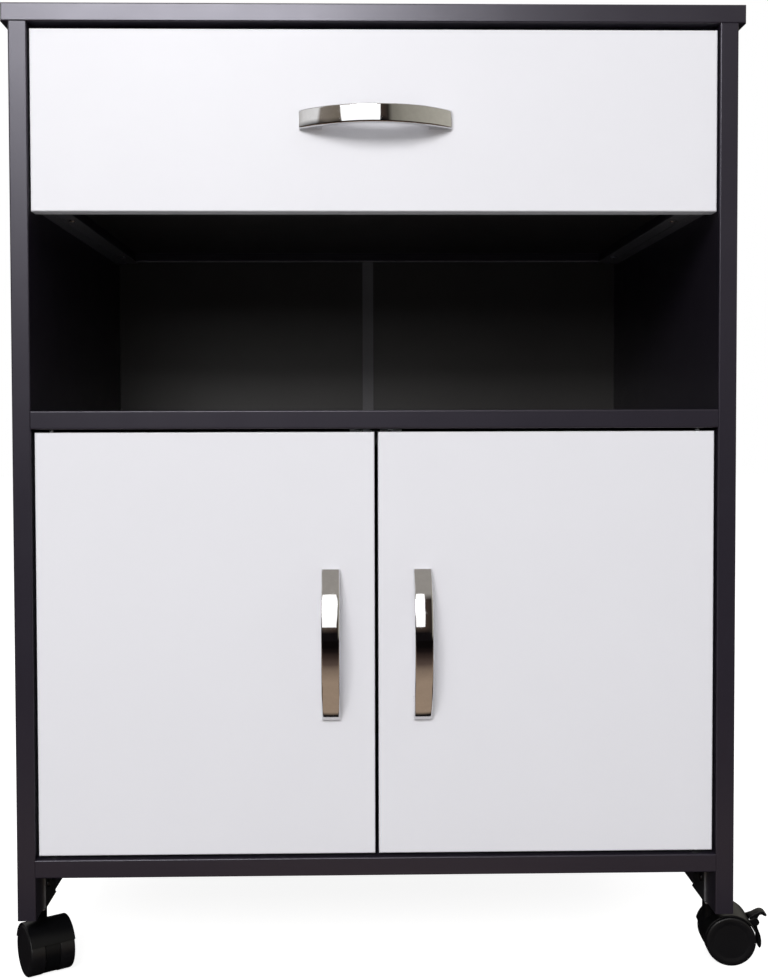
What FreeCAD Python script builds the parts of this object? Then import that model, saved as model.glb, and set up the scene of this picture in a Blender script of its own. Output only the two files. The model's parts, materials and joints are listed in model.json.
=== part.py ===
import FreeCAD, Part
import math
import os
import Sketcher
from FreeCAD import Placement, Rotation, Vector

# A rolling kitchen stand of melamine-faced board: a drawer under the top, an open bay for a
# microwave, a two-door cupboard below it and four hooded twin-wheel casters.
# Millimetres, +Z up, the front faces -Y, the floor is Z = 0 and the origin is under the middle.

os.makedirs("parts", exist_ok=True)
doc = FreeCAD.newDocument("MicrowaveStand")

# ---------------------------------------------------------------- driving dimensions

driving = {
    # boards
    "board": 15.0,
    "edge_round": 1.2,
    "top_width": 600.0,
    "top_overhang": 6.0,
    "side_depth": 380.0,
    "caster_height": 55.0,
    "foot_drop": 35.0,
    "lower_bay": 351.5,
    "upper_bay": 311.5,
    "shelf_setback": 2.0,
    # back
    "back_sheet": 3.0,
    "back_inset": 6.0,
    "strip_wall": 1.0,
    "strip_width": 12.0,
    "strip_play": 0.2,
    "nail_head_radius": 2.5,
    "nail_head_height": 0.8,
    "nail_radius": 0.9,
    "nail_length": 18.0,
    "nail_corner": 60.0,
    # drawer
    "front_recess": 2.0,
    "drawer_side_gap": 1.5,
    "drawer_top_gap": 5.0,
    "drawer_front_height": 146.0,
    "drawer_board": 12.0,
    "drawer_side_height": 110.0,
    "drawer_rear_gap": 23.0,
    "drawer_lift": 5.0,
    "groove_up": 8.0,
    "groove_depth": 4.0,
    "groove_play": 0.2,
    # runners
    "runner_room": 12.5,
    "runner_steel": 1.0,
    "runner_height": 22.0,
    "runner_start": 20.0,
    "runner_rear_gap": 15.0,
    "runner_play": 0.8,
    "roller_radius": 7.7,
    "roller_width": 7.0,
    "roller_play": 0.3,
    "roller_pin_radius": 2.0,
    "roller_inset": 14.0,
    # doors
    "door_side_gap": 2.5,
    "door_middle_gap": 3.0,
    "door_end_gap": 2.75,
    "pivot_inset": 14.5,
    "pivot_radius": 2.0,
    "pivot_hold": 12.0,
    "socket_radius": 4.5,
    "socket_depth": 8.0,
    "socket_flange_radius": 6.0,
    "socket_flange": 0.8,
    "door_handle_inset": 36.0,
    # handles
    "handle_length": 123.0,
    "handle_width": 15.0,
    "handle_reach": 27.0,
    "handle_thick": 5.0,
    "handle_end": 4.0,
    "handle_foot_inside": 5.0,
    "handle_round": 1.0,
    "handle_crook": 6.0,
    "handle_spacing": 96.0,
    "handle_screw_radius": 2.0,
    "handle_screw_bite": 6.0,
    "handle_screw_head_radius": 4.0,
    "handle_screw_head": 2.4,
    # joining hardware
    "fit_play": 0.05,
    "hole_play": 0.2,
    "cam_radius": 7.5,
    "cam_height": 12.0,
    "cam_inset": 24.0,
    "bolt_radius": 3.5,
    "bolt_thread_radius": 2.5,
    "bolt_bite": 10.5,
    "dowel_radius": 4.0,
    "dowel_length": 30.0,
    "dowel_bite": 9.0,
    "joint_inset": 55.0,
    "screw_radius": 1.75,
    "screw_length": 12.0,
    "screw_head_radius": 3.5,
    "screw_head": 2.0,
    "long_screw_length": 26.0,
    # magnetic catch
    "catch_width": 46.0,
    "catch_depth": 15.0,
    "catch_height": 13.0,
    "magnet_width": 13.0,
    "magnet_height": 9.0,
    "magnet_depth": 10.0,
    "magnet_proud": 0.4,
    "strike_width": 18.0,
    "strike_height": 11.0,
    "strike_steel": 1.2,
    "strike_gap": 0.4,
    # caster brackets
    "bracket_steel": 1.5,
    "bracket_bend": 1.0,
    "bracket_corner": 4.0,
    "bracket_length": 38.0,
    "bracket_leg_length": 33.0,
    "bracket_leg": 32.0,
    "caster_setback": 43.0,
    "stem_radius": 3.5,
    "stem_depth": 26.0,
    # casters
    "wheel_radius": 21.0,
    "wheel_width": 12.5,
    "wheel_gap": 0.3,
    "wheel_round": 2.2,
    "wheel_lip": 2.0,
    "wheel_dish": 0.8,
    "hub_radius": 6.5,
    "trail": 15.0,
    "web_width": 12.0,
    "web_radius": 20.6,
    "hood_play": 0.4,
    "hood_wall": 1.3,
    "hood_round": 1.0,
    "neck_radius": 5.5,
    "neck_play": 0.5,
    "axle_radius": 3.0,
    "axle_cover": 3.0,
    "lever_width": 12.0,
    "lever_play": 0.3,
    "lever_ear": 2.0,
    "lever_pin_radius": 1.5,
    "lever_round": 0.8,
    "pedal_reach": 10.6,
    "pedal_rise": 11.0,
    "pedal_thick": 4.5,
    "tongue_drop": 24.5,
    "tongue_thick": 3.6,
}

sheet = doc.addObject("Spreadsheet::Sheet", "Sizes")


class Size:
    """A length that carries both its number and the formula that ties it to the sheet."""

    def __init__(self, number, formula):
        self.number = float(number)
        self.formula = formula

    def __add__(self, other):
        other = size(other)
        return Size(self.number + other.number, "(%s + %s)" % (self.formula, other.formula))

    def __sub__(self, other):
        other = size(other)
        return Size(self.number - other.number, "(%s - %s)" % (self.formula, other.formula))

    def __mul__(self, other):
        other = size(other)
        return Size(self.number * other.number, "(%s * %s)" % (self.formula, other.formula))

    def __truediv__(self, other):
        other = size(other)
        return Size(self.number / other.number, "(%s / %s)" % (self.formula, other.formula))

    def __radd__(self, other):
        return size(other) + self

    def __rsub__(self, other):
        return size(other) - self

    def __rmul__(self, other):
        return size(other) * self

    def __neg__(self):
        return size(0) - self

    def root(self):
        return Size(math.sqrt(self.number), "sqrt(%s)" % self.formula)


def size(value):
    """The same value if it is a Size already, and a plain number as a Size."""
    return value if isinstance(value, Size) else Size(value, "%.6g" % value)


row_count = 0


def enter(alias, content, number):
    """Writes one cell of the sheet, names it, and gives it back as a Size."""
    global row_count
    row_count += 1
    sheet.set("A%d" % row_count, alias.replace("_", " "))
    sheet.set("B%d" % row_count, content)
    sheet.setAlias("B%d" % row_count, alias)
    return Size(number, "Sizes." + alias)


cells = {name: enter(name, "%.6g" % number, number) for name, number in driving.items()}


def c(alias):
    """A named size of the sheet."""
    return cells[alias]


def derive(alias, value):
    """Adds a size that is worked out from others to the sheet."""
    cells[alias] = enter(alias, "=" + value.formula.replace("Sizes.", ""), value.number)


derive("outer_half", c("top_width") / 2 - c("top_overhang"))
derive("inner_half", c("outer_half") - c("board"))
derive("bottom_low", c("caster_height") + c("foot_drop"))
derive("bottom_top", c("bottom_low") + c("board"))
derive("shelf_low", c("bottom_top") + c("lower_bay"))
derive("shelf_top", c("shelf_low") + c("board"))
derive("top_low", c("shelf_top") + c("upper_bay"))
derive("top_high", c("top_low") + c("board"))
# the handles reach furthest forward and the back strip furthest back: the origin is midway
derive("front_y", (c("handle_reach") - c("front_recess") - c("side_depth") - c("back_sheet")
                   - c("strip_wall")) / 2)
derive("rear_y", c("front_y") + c("side_depth"))
derive("face_y", c("front_y") + c("front_recess"))
derive("face_back_y", c("face_y") + c("board"))
derive("drawer_half", c("inner_half") - c("runner_room"))
derive("drawer_front_high", c("top_low") - c("drawer_top_gap"))
derive("drawer_front_low", c("drawer_front_high") - c("drawer_front_height"))
derive("drawer_box_low", c("drawer_front_low") + c("drawer_lift"))
derive("drawer_box_back_y", c("rear_y") - c("drawer_rear_gap"))
derive("drawer_depth", c("drawer_box_back_y") - c("face_back_y"))
derive("runner_length", c("side_depth") - c("runner_start") - c("runner_rear_gap"))
derive("runner_low", c("drawer_box_low") - c("runner_steel"))
derive("door_low", c("bottom_top") + c("door_end_gap"))
derive("door_high", c("shelf_low") - c("door_end_gap"))
derive("pivot_x", c("inner_half") - c("pivot_inset"))
derive("pivot_y", c("face_y") + c("board") / 2)
derive("caster_x", c("outer_half") - c("board") / 2)
derive("caster_front_y", c("front_y") + c("caster_setback"))
derive("caster_rear_y", c("rear_y") - c("caster_setback"))
derive("hood_inner", c("wheel_radius") + c("hood_play"))
derive("hood_outer", c("hood_inner") + c("hood_wall"))
derive("caster_half_width", c("web_width") / 2 + c("wheel_gap") + c("wheel_width"))
doc.recompute()

hood_trailing_angle = 24.0
hood_leading_angle = 166.0
lever_pivot_angle = 29.5

# ---------------------------------------------------------------- drawing helpers

subparts = []


def bind(thing, path, value):
    """Ties one property to the sheet."""
    thing.setExpression(path, size(value).formula)


def new_body(label, x=0, y=0, z=0, rotation=None, keep=True):
    """A body whose placement is tied to the sheet."""
    body = doc.addObject("PartDesign::Body", label)
    body.Label = label
    if rotation is not None:
        body.Placement = Placement(Vector(0, 0, 0), rotation)
    for axis, value in zip("xyz", (x, y, z)):
        bind(body, "Placement.Base." + axis, value)
    if keep:
        subparts.append(body)
    return body


def new_sketch(body, role, offset=0):
    """A sketch on one of the body's own origin planes, moved along the plane's normal."""
    sketch = body.newObject("Sketcher::SketchObject", body.Name + "_sketch")
    support = [plane for plane in body.Origin.OriginFeatures if plane.Role == role]
    sketch.AttachmentSupport = [(support[0], "")]
    sketch.MapMode = "FlatFace"
    bind(sketch, "AttachmentOffset.Base.z", offset)
    return sketch


def hold(sketch, geometry, point, across, up):
    """Holds a point of the sketch at a distance from the sketch's origin."""
    for kind, value, axis in (("DistanceX", across, -2), ("DistanceY", up, -1)):
        value = size(value)
        if value.formula == "0":
            sketch.addConstraint(Sketcher.Constraint("PointOnObject", geometry, point, axis))
        else:
            held = Sketcher.Constraint(kind, -1, 1, geometry, point, value.number)
            index = sketch.addConstraint(held)
            sketch.setExpression("Constraints[%d]" % index, value.formula)


def at(across, up):
    return Vector(size(across).number, size(up).number, 0)


def draw_polygon(sketch, corners):
    """A closed outline of straight lines through the corners."""
    first = sketch.GeometryCount
    count = len(corners)
    for i in range(count):
        sketch.addGeometry(Part.LineSegment(at(*corners[i]), at(*corners[(i + 1) % count])))
    for i in range(count):
        following = first + (i + 1) % count
        sketch.addConstraint(Sketcher.Constraint("Coincident", first + i, 2, following, 1))
    for i in range(count):
        hold(sketch, first + i, 1, *corners[i])


def draw_rectangle(sketch, across, up):
    corners = [(across[0], up[0]), (across[1], up[0]), (across[1], up[1]), (across[0], up[1])]
    draw_polygon(sketch, corners)


def draw_circle(sketch, centre, radius):
    index = sketch.addGeometry(Part.Circle(at(*centre), Vector(0, 0, 1), size(radius).number))
    hold(sketch, index, 3, *centre)
    held = sketch.addConstraint(Sketcher.Constraint("Radius", index, size(radius).number))
    sketch.setExpression("Constraints[%d]" % held, size(radius).formula)


def pad(body, sketch, length, both_ways=False, backwards=False):
    """Thickens a sketch along its normal, to both sides of it, or against it."""
    feature = body.newObject("PartDesign::Pad", body.Name + "_pad")
    feature.Profile = sketch
    bind(feature, "Length", length)
    feature.Midplane = both_ways
    feature.Reversed = backwards
    return feature


def cut(body, sketch, depth, both_ways=False, backwards=False):
    """Cuts a sketch into the body, against its normal unless told otherwise."""
    feature = body.newObject("PartDesign::Pocket", body.Name + "_cut")
    feature.Profile = sketch
    bind(feature, "Length", depth)
    feature.Midplane = both_ways
    feature.Reversed = backwards
    return feature


def block(label, x, y, z):
    """A rectangular piece between two corners. Its own origin is its low corner."""
    body = new_body(label, x[0], y[0], z[0])
    extent = [size(high) - low for low, high in (x, y, z)]
    sketch = new_sketch(body, "XY_Plane")
    draw_rectangle(sketch, (0, extent[0]), (0, extent[1]))
    pad(body, sketch, extent[2])
    body_extent[label] = extent
    return body


body_extent = {}
faces = {
    # face: its plane, the extent it lies at, the sign of its offset, and whether a cut is reversed
    "left": ("YZ_Plane", None, 1, True),
    "right": ("YZ_Plane", 0, 1, False),
    "front": ("XZ_Plane", None, -1, False),
    "rear": ("XZ_Plane", 1, -1, True),
    "under": ("XY_Plane", None, 1, True),
    "upper": ("XY_Plane", 2, 1, False),
}


def face_sketch(body, face):
    """A sketch on a face of a block, and whether a cut from it is reversed."""
    plane, axis, sign, backwards = faces[face]
    offset = size(0) if axis is None else body_extent[body.Label][axis] * sign
    return new_sketch(body, plane, offset), backwards


def drill(body, face, centres, radius, depth):
    """Round holes into one face of a block."""
    sketch, backwards = face_sketch(body, face)
    for centre in centres:
        draw_circle(sketch, centre, radius)
    return cut(body, sketch, depth, backwards=backwards)


def recess(body, face, across, up, depth):
    """A rectangular recess in one face of a block."""
    sketch, backwards = face_sketch(body, face)
    draw_rectangle(sketch, across, up)
    return cut(body, sketch, depth, backwards=backwards)


def round_edges(body, radius, chosen):
    """Rounds the edges of the finished shape that the test picks by their two ends."""
    doc.recompute()
    base = body.Tip
    picked = []
    for number, edge in enumerate(base.Shape.Edges, 1):
        if len(edge.Vertexes) == 2 and chosen(edge.Vertexes[0].Point, edge.Vertexes[1].Point, edge):
            picked.append("Edge%d" % number)
    if not picked:
        raise RuntimeError(body.Label + " has no edge to round")
    fillet = body.newObject("PartDesign::Fillet", body.Name + "_round")
    fillet.Base = (base, picked)
    bind(fillet, "Radius", radius)
    return fillet


def near(first, second):
    return abs(first - second) < 1e-4


def front_edges(start, end, edge):
    """Every edge of a block's front face."""
    return near(start.y, 0) and near(end.y, 0)


def front_level_edges(start, end, edge):
    """The long level edges of a block's front face."""
    return front_edges(start, end, edge) and near(start.z, end.z)


def front_upright_edges(start, end, edge):
    return front_edges(start, end, edge) and near(start.x, end.x)


def turned(label, outline, x=0, y=0, z=0, rotation=None, keep=True):
    """A piece turned about its own Z axis from corners of (radius, height)."""
    body = new_body(label, x, y, z, rotation, keep)
    sketch = new_sketch(body, "XZ_Plane")
    draw_polygon(sketch, outline)
    feature = body.newObject("PartDesign::Revolution", body.Name + "_turn")
    feature.Profile = sketch
    feature.ReferenceAxis = (sketch, ["V_Axis"])
    feature.Angle = 360.0
    return body


def group(label, pattern, places):
    """One node of like pieces: a copy of the pattern at each place."""
    links = []
    for place in places:
        link = doc.addObject("App::Link", label + "_copy")
        link.LinkedObject = pattern
        link.Placement = place
        links.append(link)
    compound = doc.addObject("Part::Compound", label)
    compound.Label = label
    compound.Links = links
    subparts.append(compound)
    return compound


def spot(x, y, z):
    """The numbers of a point given by sizes."""
    return Vector(size(x).number, size(y).number, size(z).number)


along = {
    "up": Rotation(),
    "down": Rotation(Vector(1, 0, 0), 180),
    "left": Rotation(Vector(0, 1, 0), -90),
    "right": Rotation(Vector(0, 1, 0), 90),
    "back": Rotation(Vector(1, 0, 0), -90),
}

hands = {"left": -1, "right": 1}


def span(hand, near_x, far_x):
    """The low and high X of a piece between two distances from the middle, on either hand."""
    near_x, far_x = size(near_x), size(far_x)
    return (near_x, far_x) if hand == "right" else (-far_x, -near_x)


# ---------------------------------------------------------------- cabinet boards

depth = c("side_depth")
joint_rows = [c("joint_inset"), depth - c("joint_inset")]
dowel_row = depth / 2
end_board_middle = c("board") / 2

top_board = block("top_board", (-c("top_width") / 2, c("top_width") / 2),
                  (c("front_y"), c("rear_y")), (c("top_low"), c("top_high")))
round_edges(top_board, c("edge_round"), front_edges)
side_line_left = c("top_overhang") + c("board") / 2
side_line_right = c("top_width") - side_line_left
drill(top_board, "under", [(x, y) for x in (side_line_left, side_line_right) for y in joint_rows],
      c("bolt_thread_radius") + c("fit_play"), c("bolt_bite") + c("hole_play"))
drill(top_board, "under", [(side_line_left, dowel_row), (side_line_right, dowel_row)],
      c("dowel_radius") + c("fit_play"), c("dowel_bite") + c("hole_play"))

side_height = c("top_low") - c("caster_height")
board_levels = [c(name) - c("caster_height") + c("board") / 2 for name in ("bottom_low", "shelf_low")]
for hand in hands:
    side = block("side_board_" + hand, span(hand, c("inner_half"), c("outer_half")),
                 (c("front_y"), c("rear_y")), (c("caster_height"), c("top_low")))
    round_edges(side, c("edge_round"), front_upright_edges)
    inner_face = "right" if hand == "left" else "left"
    drill(side, inner_face, [(y, z) for y in joint_rows for z in board_levels],
          c("bolt_thread_radius") + c("fit_play"), c("bolt_bite") + c("hole_play"))
    drill(side, inner_face, [(dowel_row, z) for z in board_levels],
          c("dowel_radius") + c("fit_play"), c("dowel_bite") + c("hole_play"))
    # cams near the top pull the side up to the top board
    drill(side, inner_face, [(y, side_height - c("cam_inset")) for y in joint_rows],
          c("cam_radius") + c("fit_play"), c("cam_height") + c("hole_play"))
    drill(side, "upper", [(end_board_middle, y) for y in joint_rows],
          c("bolt_radius") + c("fit_play"), c("cam_inset"))
    drill(side, "upper", [(end_board_middle, dowel_row)],
          c("dowel_radius") + c("fit_play"), c("dowel_length") - c("dowel_bite") + c("hole_play"))


def level_board(label, low, high, rear):
    """A board between the sides, with cams and bolts near each end."""
    board = block(label, (-c("inner_half"), c("inner_half")), (c("front_y"), rear), (low, high))
    round_edges(board, c("edge_round"), front_level_edges)
    width = c("inner_half") * 2
    cam_columns = [c("cam_inset"), width - c("cam_inset")]
    drill(board, "under", [(x, y) for x in cam_columns for y in joint_rows],
          c("cam_radius") + c("fit_play"), c("cam_height") + c("hole_play"))
    for end in ("left", "right"):
        drill(board, end, [(y, end_board_middle) for y in joint_rows],
              c("bolt_radius") + c("fit_play"), c("cam_inset"))
        drill(board, end, [(dowel_row, end_board_middle)],
              c("dowel_radius") + c("fit_play"), c("dowel_length") - c("dowel_bite") + c("hole_play"))
    return board


middle_shelf = level_board("middle_shelf", c("shelf_low"), c("shelf_top"),
                           c("rear_y") - c("shelf_setback"))
bottom_board = level_board("bottom_board", c("bottom_low"), c("bottom_top"), c("rear_y"))

# nylon sockets for the doors' pivot pins are let into the shelf and the bottom board
socket_columns = [c("inner_half") - c("pivot_x"), c("inner_half") + c("pivot_x")]
socket_row = c("pivot_y") - c("front_y")
for board, face in ((middle_shelf, "under"), (bottom_board, "upper")):
    drill(board, face, [(x, socket_row) for x in socket_columns],
          c("socket_radius") + c("fit_play"), c("socket_depth") + c("hole_play"))

# ---------------------------------------------------------------- back

back_low = c("bottom_low") + c("back_inset") / 2
back_high = c("top_high") - c("back_inset") / 2
seam_half = c("strip_wall") / 2 + c("strip_play")
for hand in hands:
    block("back_board_" + hand, span(hand, seam_half, c("outer_half") - c("back_inset")),
          (c("rear_y"), c("rear_y") + c("back_sheet")), (back_low, back_high))

# the strip that joins the halves is an H in section: two flanges and a web between the sheets
strip = new_body("back_joining_strip", -c("strip_width") / 2,
                 c("rear_y") + c("back_sheet") + c("strip_wall"), c("bottom_top") + c("strip_play"))
strip_section = new_sketch(strip, "XY_Plane")
strip_half = c("strip_width") / 2
web_low = strip_half - c("strip_wall") / 2
web_high = strip_half + c("strip_wall") / 2
strip_depth = c("back_sheet") + c("strip_wall") * 2
wall = c("strip_wall")
draw_polygon(strip_section, [
    (0, 0), (c("strip_width"), 0), (c("strip_width"), -wall), (web_high, -wall),
    (web_high, -wall - c("back_sheet")), (c("strip_width"), -wall - c("back_sheet")),
    (c("strip_width"), -strip_depth), (0, -strip_depth), (0, -wall - c("back_sheet")),
    (web_low, -wall - c("back_sheet")), (web_low, -wall), (0, -wall)])
pad(strip, strip_section, c("top_low") - c("bottom_top") - c("strip_play") * 2)

nail = turned("nail", [
    (0, 0), (c("nail_head_radius"), 0), (c("nail_head_radius"), c("nail_head_height")),
    (c("nail_radius"), c("nail_head_height")), (c("nail_radius"), c("nail_length")),
    (0, c("nail_length"))], keep=False)
nail_y = c("rear_y") + c("back_sheet") + c("nail_head_height")
nail_columns = [c("outer_half") - c("board") / 2, c("outer_half") / 2]
nail_spots = []
for sign in hands.values():
    for z in (c("bottom_low") + c("nail_corner"), c("shelf_top") + c("nail_corner"),
              c("top_low") - c("nail_corner")):
        nail_spots.append(spot(nail_columns[0] * sign, nail_y, z))
    for z in (c("bottom_low") + c("board") / 2, c("top_low") + c("board") / 2):
        nail_spots.append(spot(nail_columns[1] * sign, nail_y, z))
forward = Rotation(Vector(1, 0, 0), 90)
group("back_nails", nail, [Placement(place, forward) for place in nail_spots])

# ---------------------------------------------------------------- cams, bolts and dowels

cam = turned("cam", [
    (0, 0), (c("cam_radius"), 0), (c("cam_radius"), c("cam_height")), (0, c("cam_height"))],
    keep=False)
bolt_reach = c("cam_inset") - c("cam_radius") - c("fit_play") * 2
bolt = turned("bolt", [
    (0, -c("bolt_bite")), (c("bolt_thread_radius"), -c("bolt_bite")),
    (c("bolt_thread_radius"), 0), (c("bolt_radius"), 0), (c("bolt_radius"), bolt_reach),
    (0, bolt_reach)], keep=False)
dowel = turned("dowel", [
    (0, -c("dowel_bite")), (c("dowel_radius"), -c("dowel_bite")),
    (c("dowel_radius"), c("dowel_length") - c("dowel_bite")),
    (0, c("dowel_length") - c("dowel_bite"))], keep=False)

cam_places, bolt_places, dowel_places = [], [], []
for hand, sign in hands.items():
    inward = "right" if hand == "left" else "left"
    outward = hand
    for low in ("bottom_low", "shelf_low"):
        middle = c(low) + c("board") / 2
        for row in joint_rows:
            y = c("front_y") + row
            cam_spot = spot((c("inner_half") - c("cam_inset")) * sign, y, c(low))
            cam_places.append(Placement(cam_spot, along["up"]))
            bolt_places.append(Placement(spot(c("inner_half") * sign, y, middle), along[inward]))
        dowel_spot = spot(c("inner_half") * sign, c("front_y") + dowel_row, middle)
        dowel_places.append(Placement(dowel_spot, along[inward]))
    for row in joint_rows:
        y = c("front_y") + row
        cam_spot = spot(c("inner_half") * sign, y, c("top_low") - c("cam_inset"))
        cam_places.append(Placement(cam_spot, along[outward]))
        bolt_places.append(Placement(spot(c("caster_x") * sign, y, c("top_low")), along["down"]))
    dowel_spot = spot(c("caster_x") * sign, c("front_y") + dowel_row, c("top_low"))
    dowel_places.append(Placement(dowel_spot, along["down"]))
group("cam_locks", cam, cam_places)
group("cam_bolts", bolt, bolt_places)
group("wooden_dowels", dowel, dowel_places)

# ---------------------------------------------------------------- drawer box

drawer_width = c("inner_half") * 2 - c("drawer_side_gap") * 2
drawer_front = block("drawer_front", (-drawer_width / 2, drawer_width / 2),
                     (c("face_y"), c("face_back_y")),
                     (c("drawer_front_low"), c("drawer_front_high")))
round_edges(drawer_front, c("edge_round"), front_edges)
handle_hole = c("handle_screw_radius") + c("hole_play")
half_spacing = c("handle_spacing") / 2
drill(drawer_front, "front",
      [(drawer_width / 2 - half_spacing, c("drawer_front_height") / 2),
       (drawer_width / 2 + half_spacing, c("drawer_front_height") / 2)],
      handle_hole, c("board"))

box_half = c("drawer_half")
box_inner = c("drawer_half") - c("drawer_board")
sheet_low = c("drawer_box_low") + c("groove_up")
groove_low = c("groove_up")
groove_high = c("groove_up") + c("back_sheet") + c("groove_play")
groove_in = c("groove_depth") + c("groove_play")
front_offset = drawer_width / 2
recess(drawer_front, "rear", (front_offset - box_inner - c("groove_depth"),
                              front_offset + box_inner + c("groove_depth")),
       (groove_low + c("drawer_lift"), groove_high + c("drawer_lift")), groove_in)
drawer_cam_level = c("drawer_side_height") / 2
drill(drawer_front, "rear",
      [(front_offset + (box_inner + c("drawer_board") / 2) * sign, c("drawer_lift") + drawer_cam_level)
       for sign in hands.values()],
      c("bolt_thread_radius") + c("fit_play"), c("bolt_bite") + c("hole_play"))

small_cam_depth = c("drawer_board") - c("strip_wall") * 2
for hand in hands:
    side = block("drawer_side_" + hand, span(hand, box_inner, box_half),
                 (c("face_back_y"), c("drawer_box_back_y")),
                 (c("drawer_box_low"), c("drawer_box_low") + c("drawer_side_height")))
    inner_face = "right" if hand == "left" else "left"
    recess(side, inner_face, (0, c("drawer_depth") - c("drawer_board") + c("groove_depth")),
           (groove_low, groove_high), groove_in)
    drill(side, inner_face, [(c("cam_inset"), drawer_cam_level)],
          c("cam_radius") + c("fit_play"), small_cam_depth + c("hole_play"))
    drill(side, "front", [(c("drawer_board") / 2, drawer_cam_level)],
          c("bolt_radius") + c("fit_play"), c("cam_inset"))

drawer_back = block("drawer_back", (-box_inner, box_inner),
                    (c("drawer_box_back_y") - c("drawer_board"), c("drawer_box_back_y")),
                    (c("drawer_box_low"), c("drawer_box_low") + c("drawer_side_height")))
recess(drawer_back, "front", (0, box_inner * 2), (groove_low, groove_high), groove_in)
block("drawer_bottom", (-box_inner - c("groove_depth"), box_inner + c("groove_depth")),
      (c("face_back_y") - c("groove_depth"),
       c("drawer_box_back_y") - c("drawer_board") + c("groove_depth") - c("groove_play")),
      (sheet_low, sheet_low + c("back_sheet")))

drawer_cam = turned("drawer_cam", [
    (0, 0), (c("cam_radius"), 0), (c("cam_radius"), small_cam_depth), (0, small_cam_depth)],
    keep=False)
cam_z = c("drawer_box_low") + drawer_cam_level
group("drawer_cam_locks", drawer_cam, [
    Placement(spot(box_inner * sign, c("face_back_y") + c("cam_inset"), cam_z), along[hand])
    for hand, sign in hands.items()])
group("drawer_cam_bolts", bolt, [
    Placement(spot((box_inner + c("drawer_board") / 2) * sign, c("face_back_y"), cam_z), along["back"])
    for sign in hands.values()])

long_screw = turned("long_screw", [
    (0, -c("screw_head")), (c("screw_head_radius"), -c("screw_head")), (c("screw_head_radius"), 0),
    (c("screw_radius"), 0), (c("screw_radius"), c("long_screw_length")),
    (0, c("long_screw_length"))], keep=False)
runner_screw_rows = [c("face_back_y") + c("joint_inset"), c("drawer_box_back_y") - c("joint_inset")]
box_screw_levels = [c("drawer_side_height") * 0.4, c("drawer_side_height") * 0.8]
box_screw_y = c("drawer_box_back_y") - c("drawer_board") / 2
screw_places = []
for hand, sign in hands.items():
    inward = "right" if hand == "left" else "left"
    for level in box_screw_levels:
        screw_places.append(Placement(
            spot(box_half * sign, box_screw_y, c("drawer_box_low") + level), along[inward]))
    for y in runner_screw_rows:
        screw_places.append(Placement(
            spot((box_inner + c("drawer_board") / 2) * sign, y, c("runner_low")), along["up"]))
group("drawer_box_screws", long_screw, screw_places)

# ---------------------------------------------------------------- roller runners
# Seen end-on, the cabinet's runner is a channel open towards the drawer, and the drawer's
# runner is an angle under the drawer side with a flange at its top that rides inside the channel.

steel = c("runner_steel")
channel_room = c("runner_room") - steel - c("runner_play")
flange_under = c("roller_radius") * 2 + steel * 2 + c("roller_play") * 2
cabinet_roller_z = flange_under - c("roller_play") - c("roller_radius")
drawer_roller_z = steel + c("roller_play") + c("roller_radius")
cabinet_roller_y = c("runner_start") + c("roller_inset")
drawer_roller_y = c("drawer_depth") - c("roller_inset")


def section(hand, corners):
    """A runner's section is drawn for the right hand and mirrored for the left."""
    return [(x if hand == "right" else -x, z) for x, z in corners]


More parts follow.
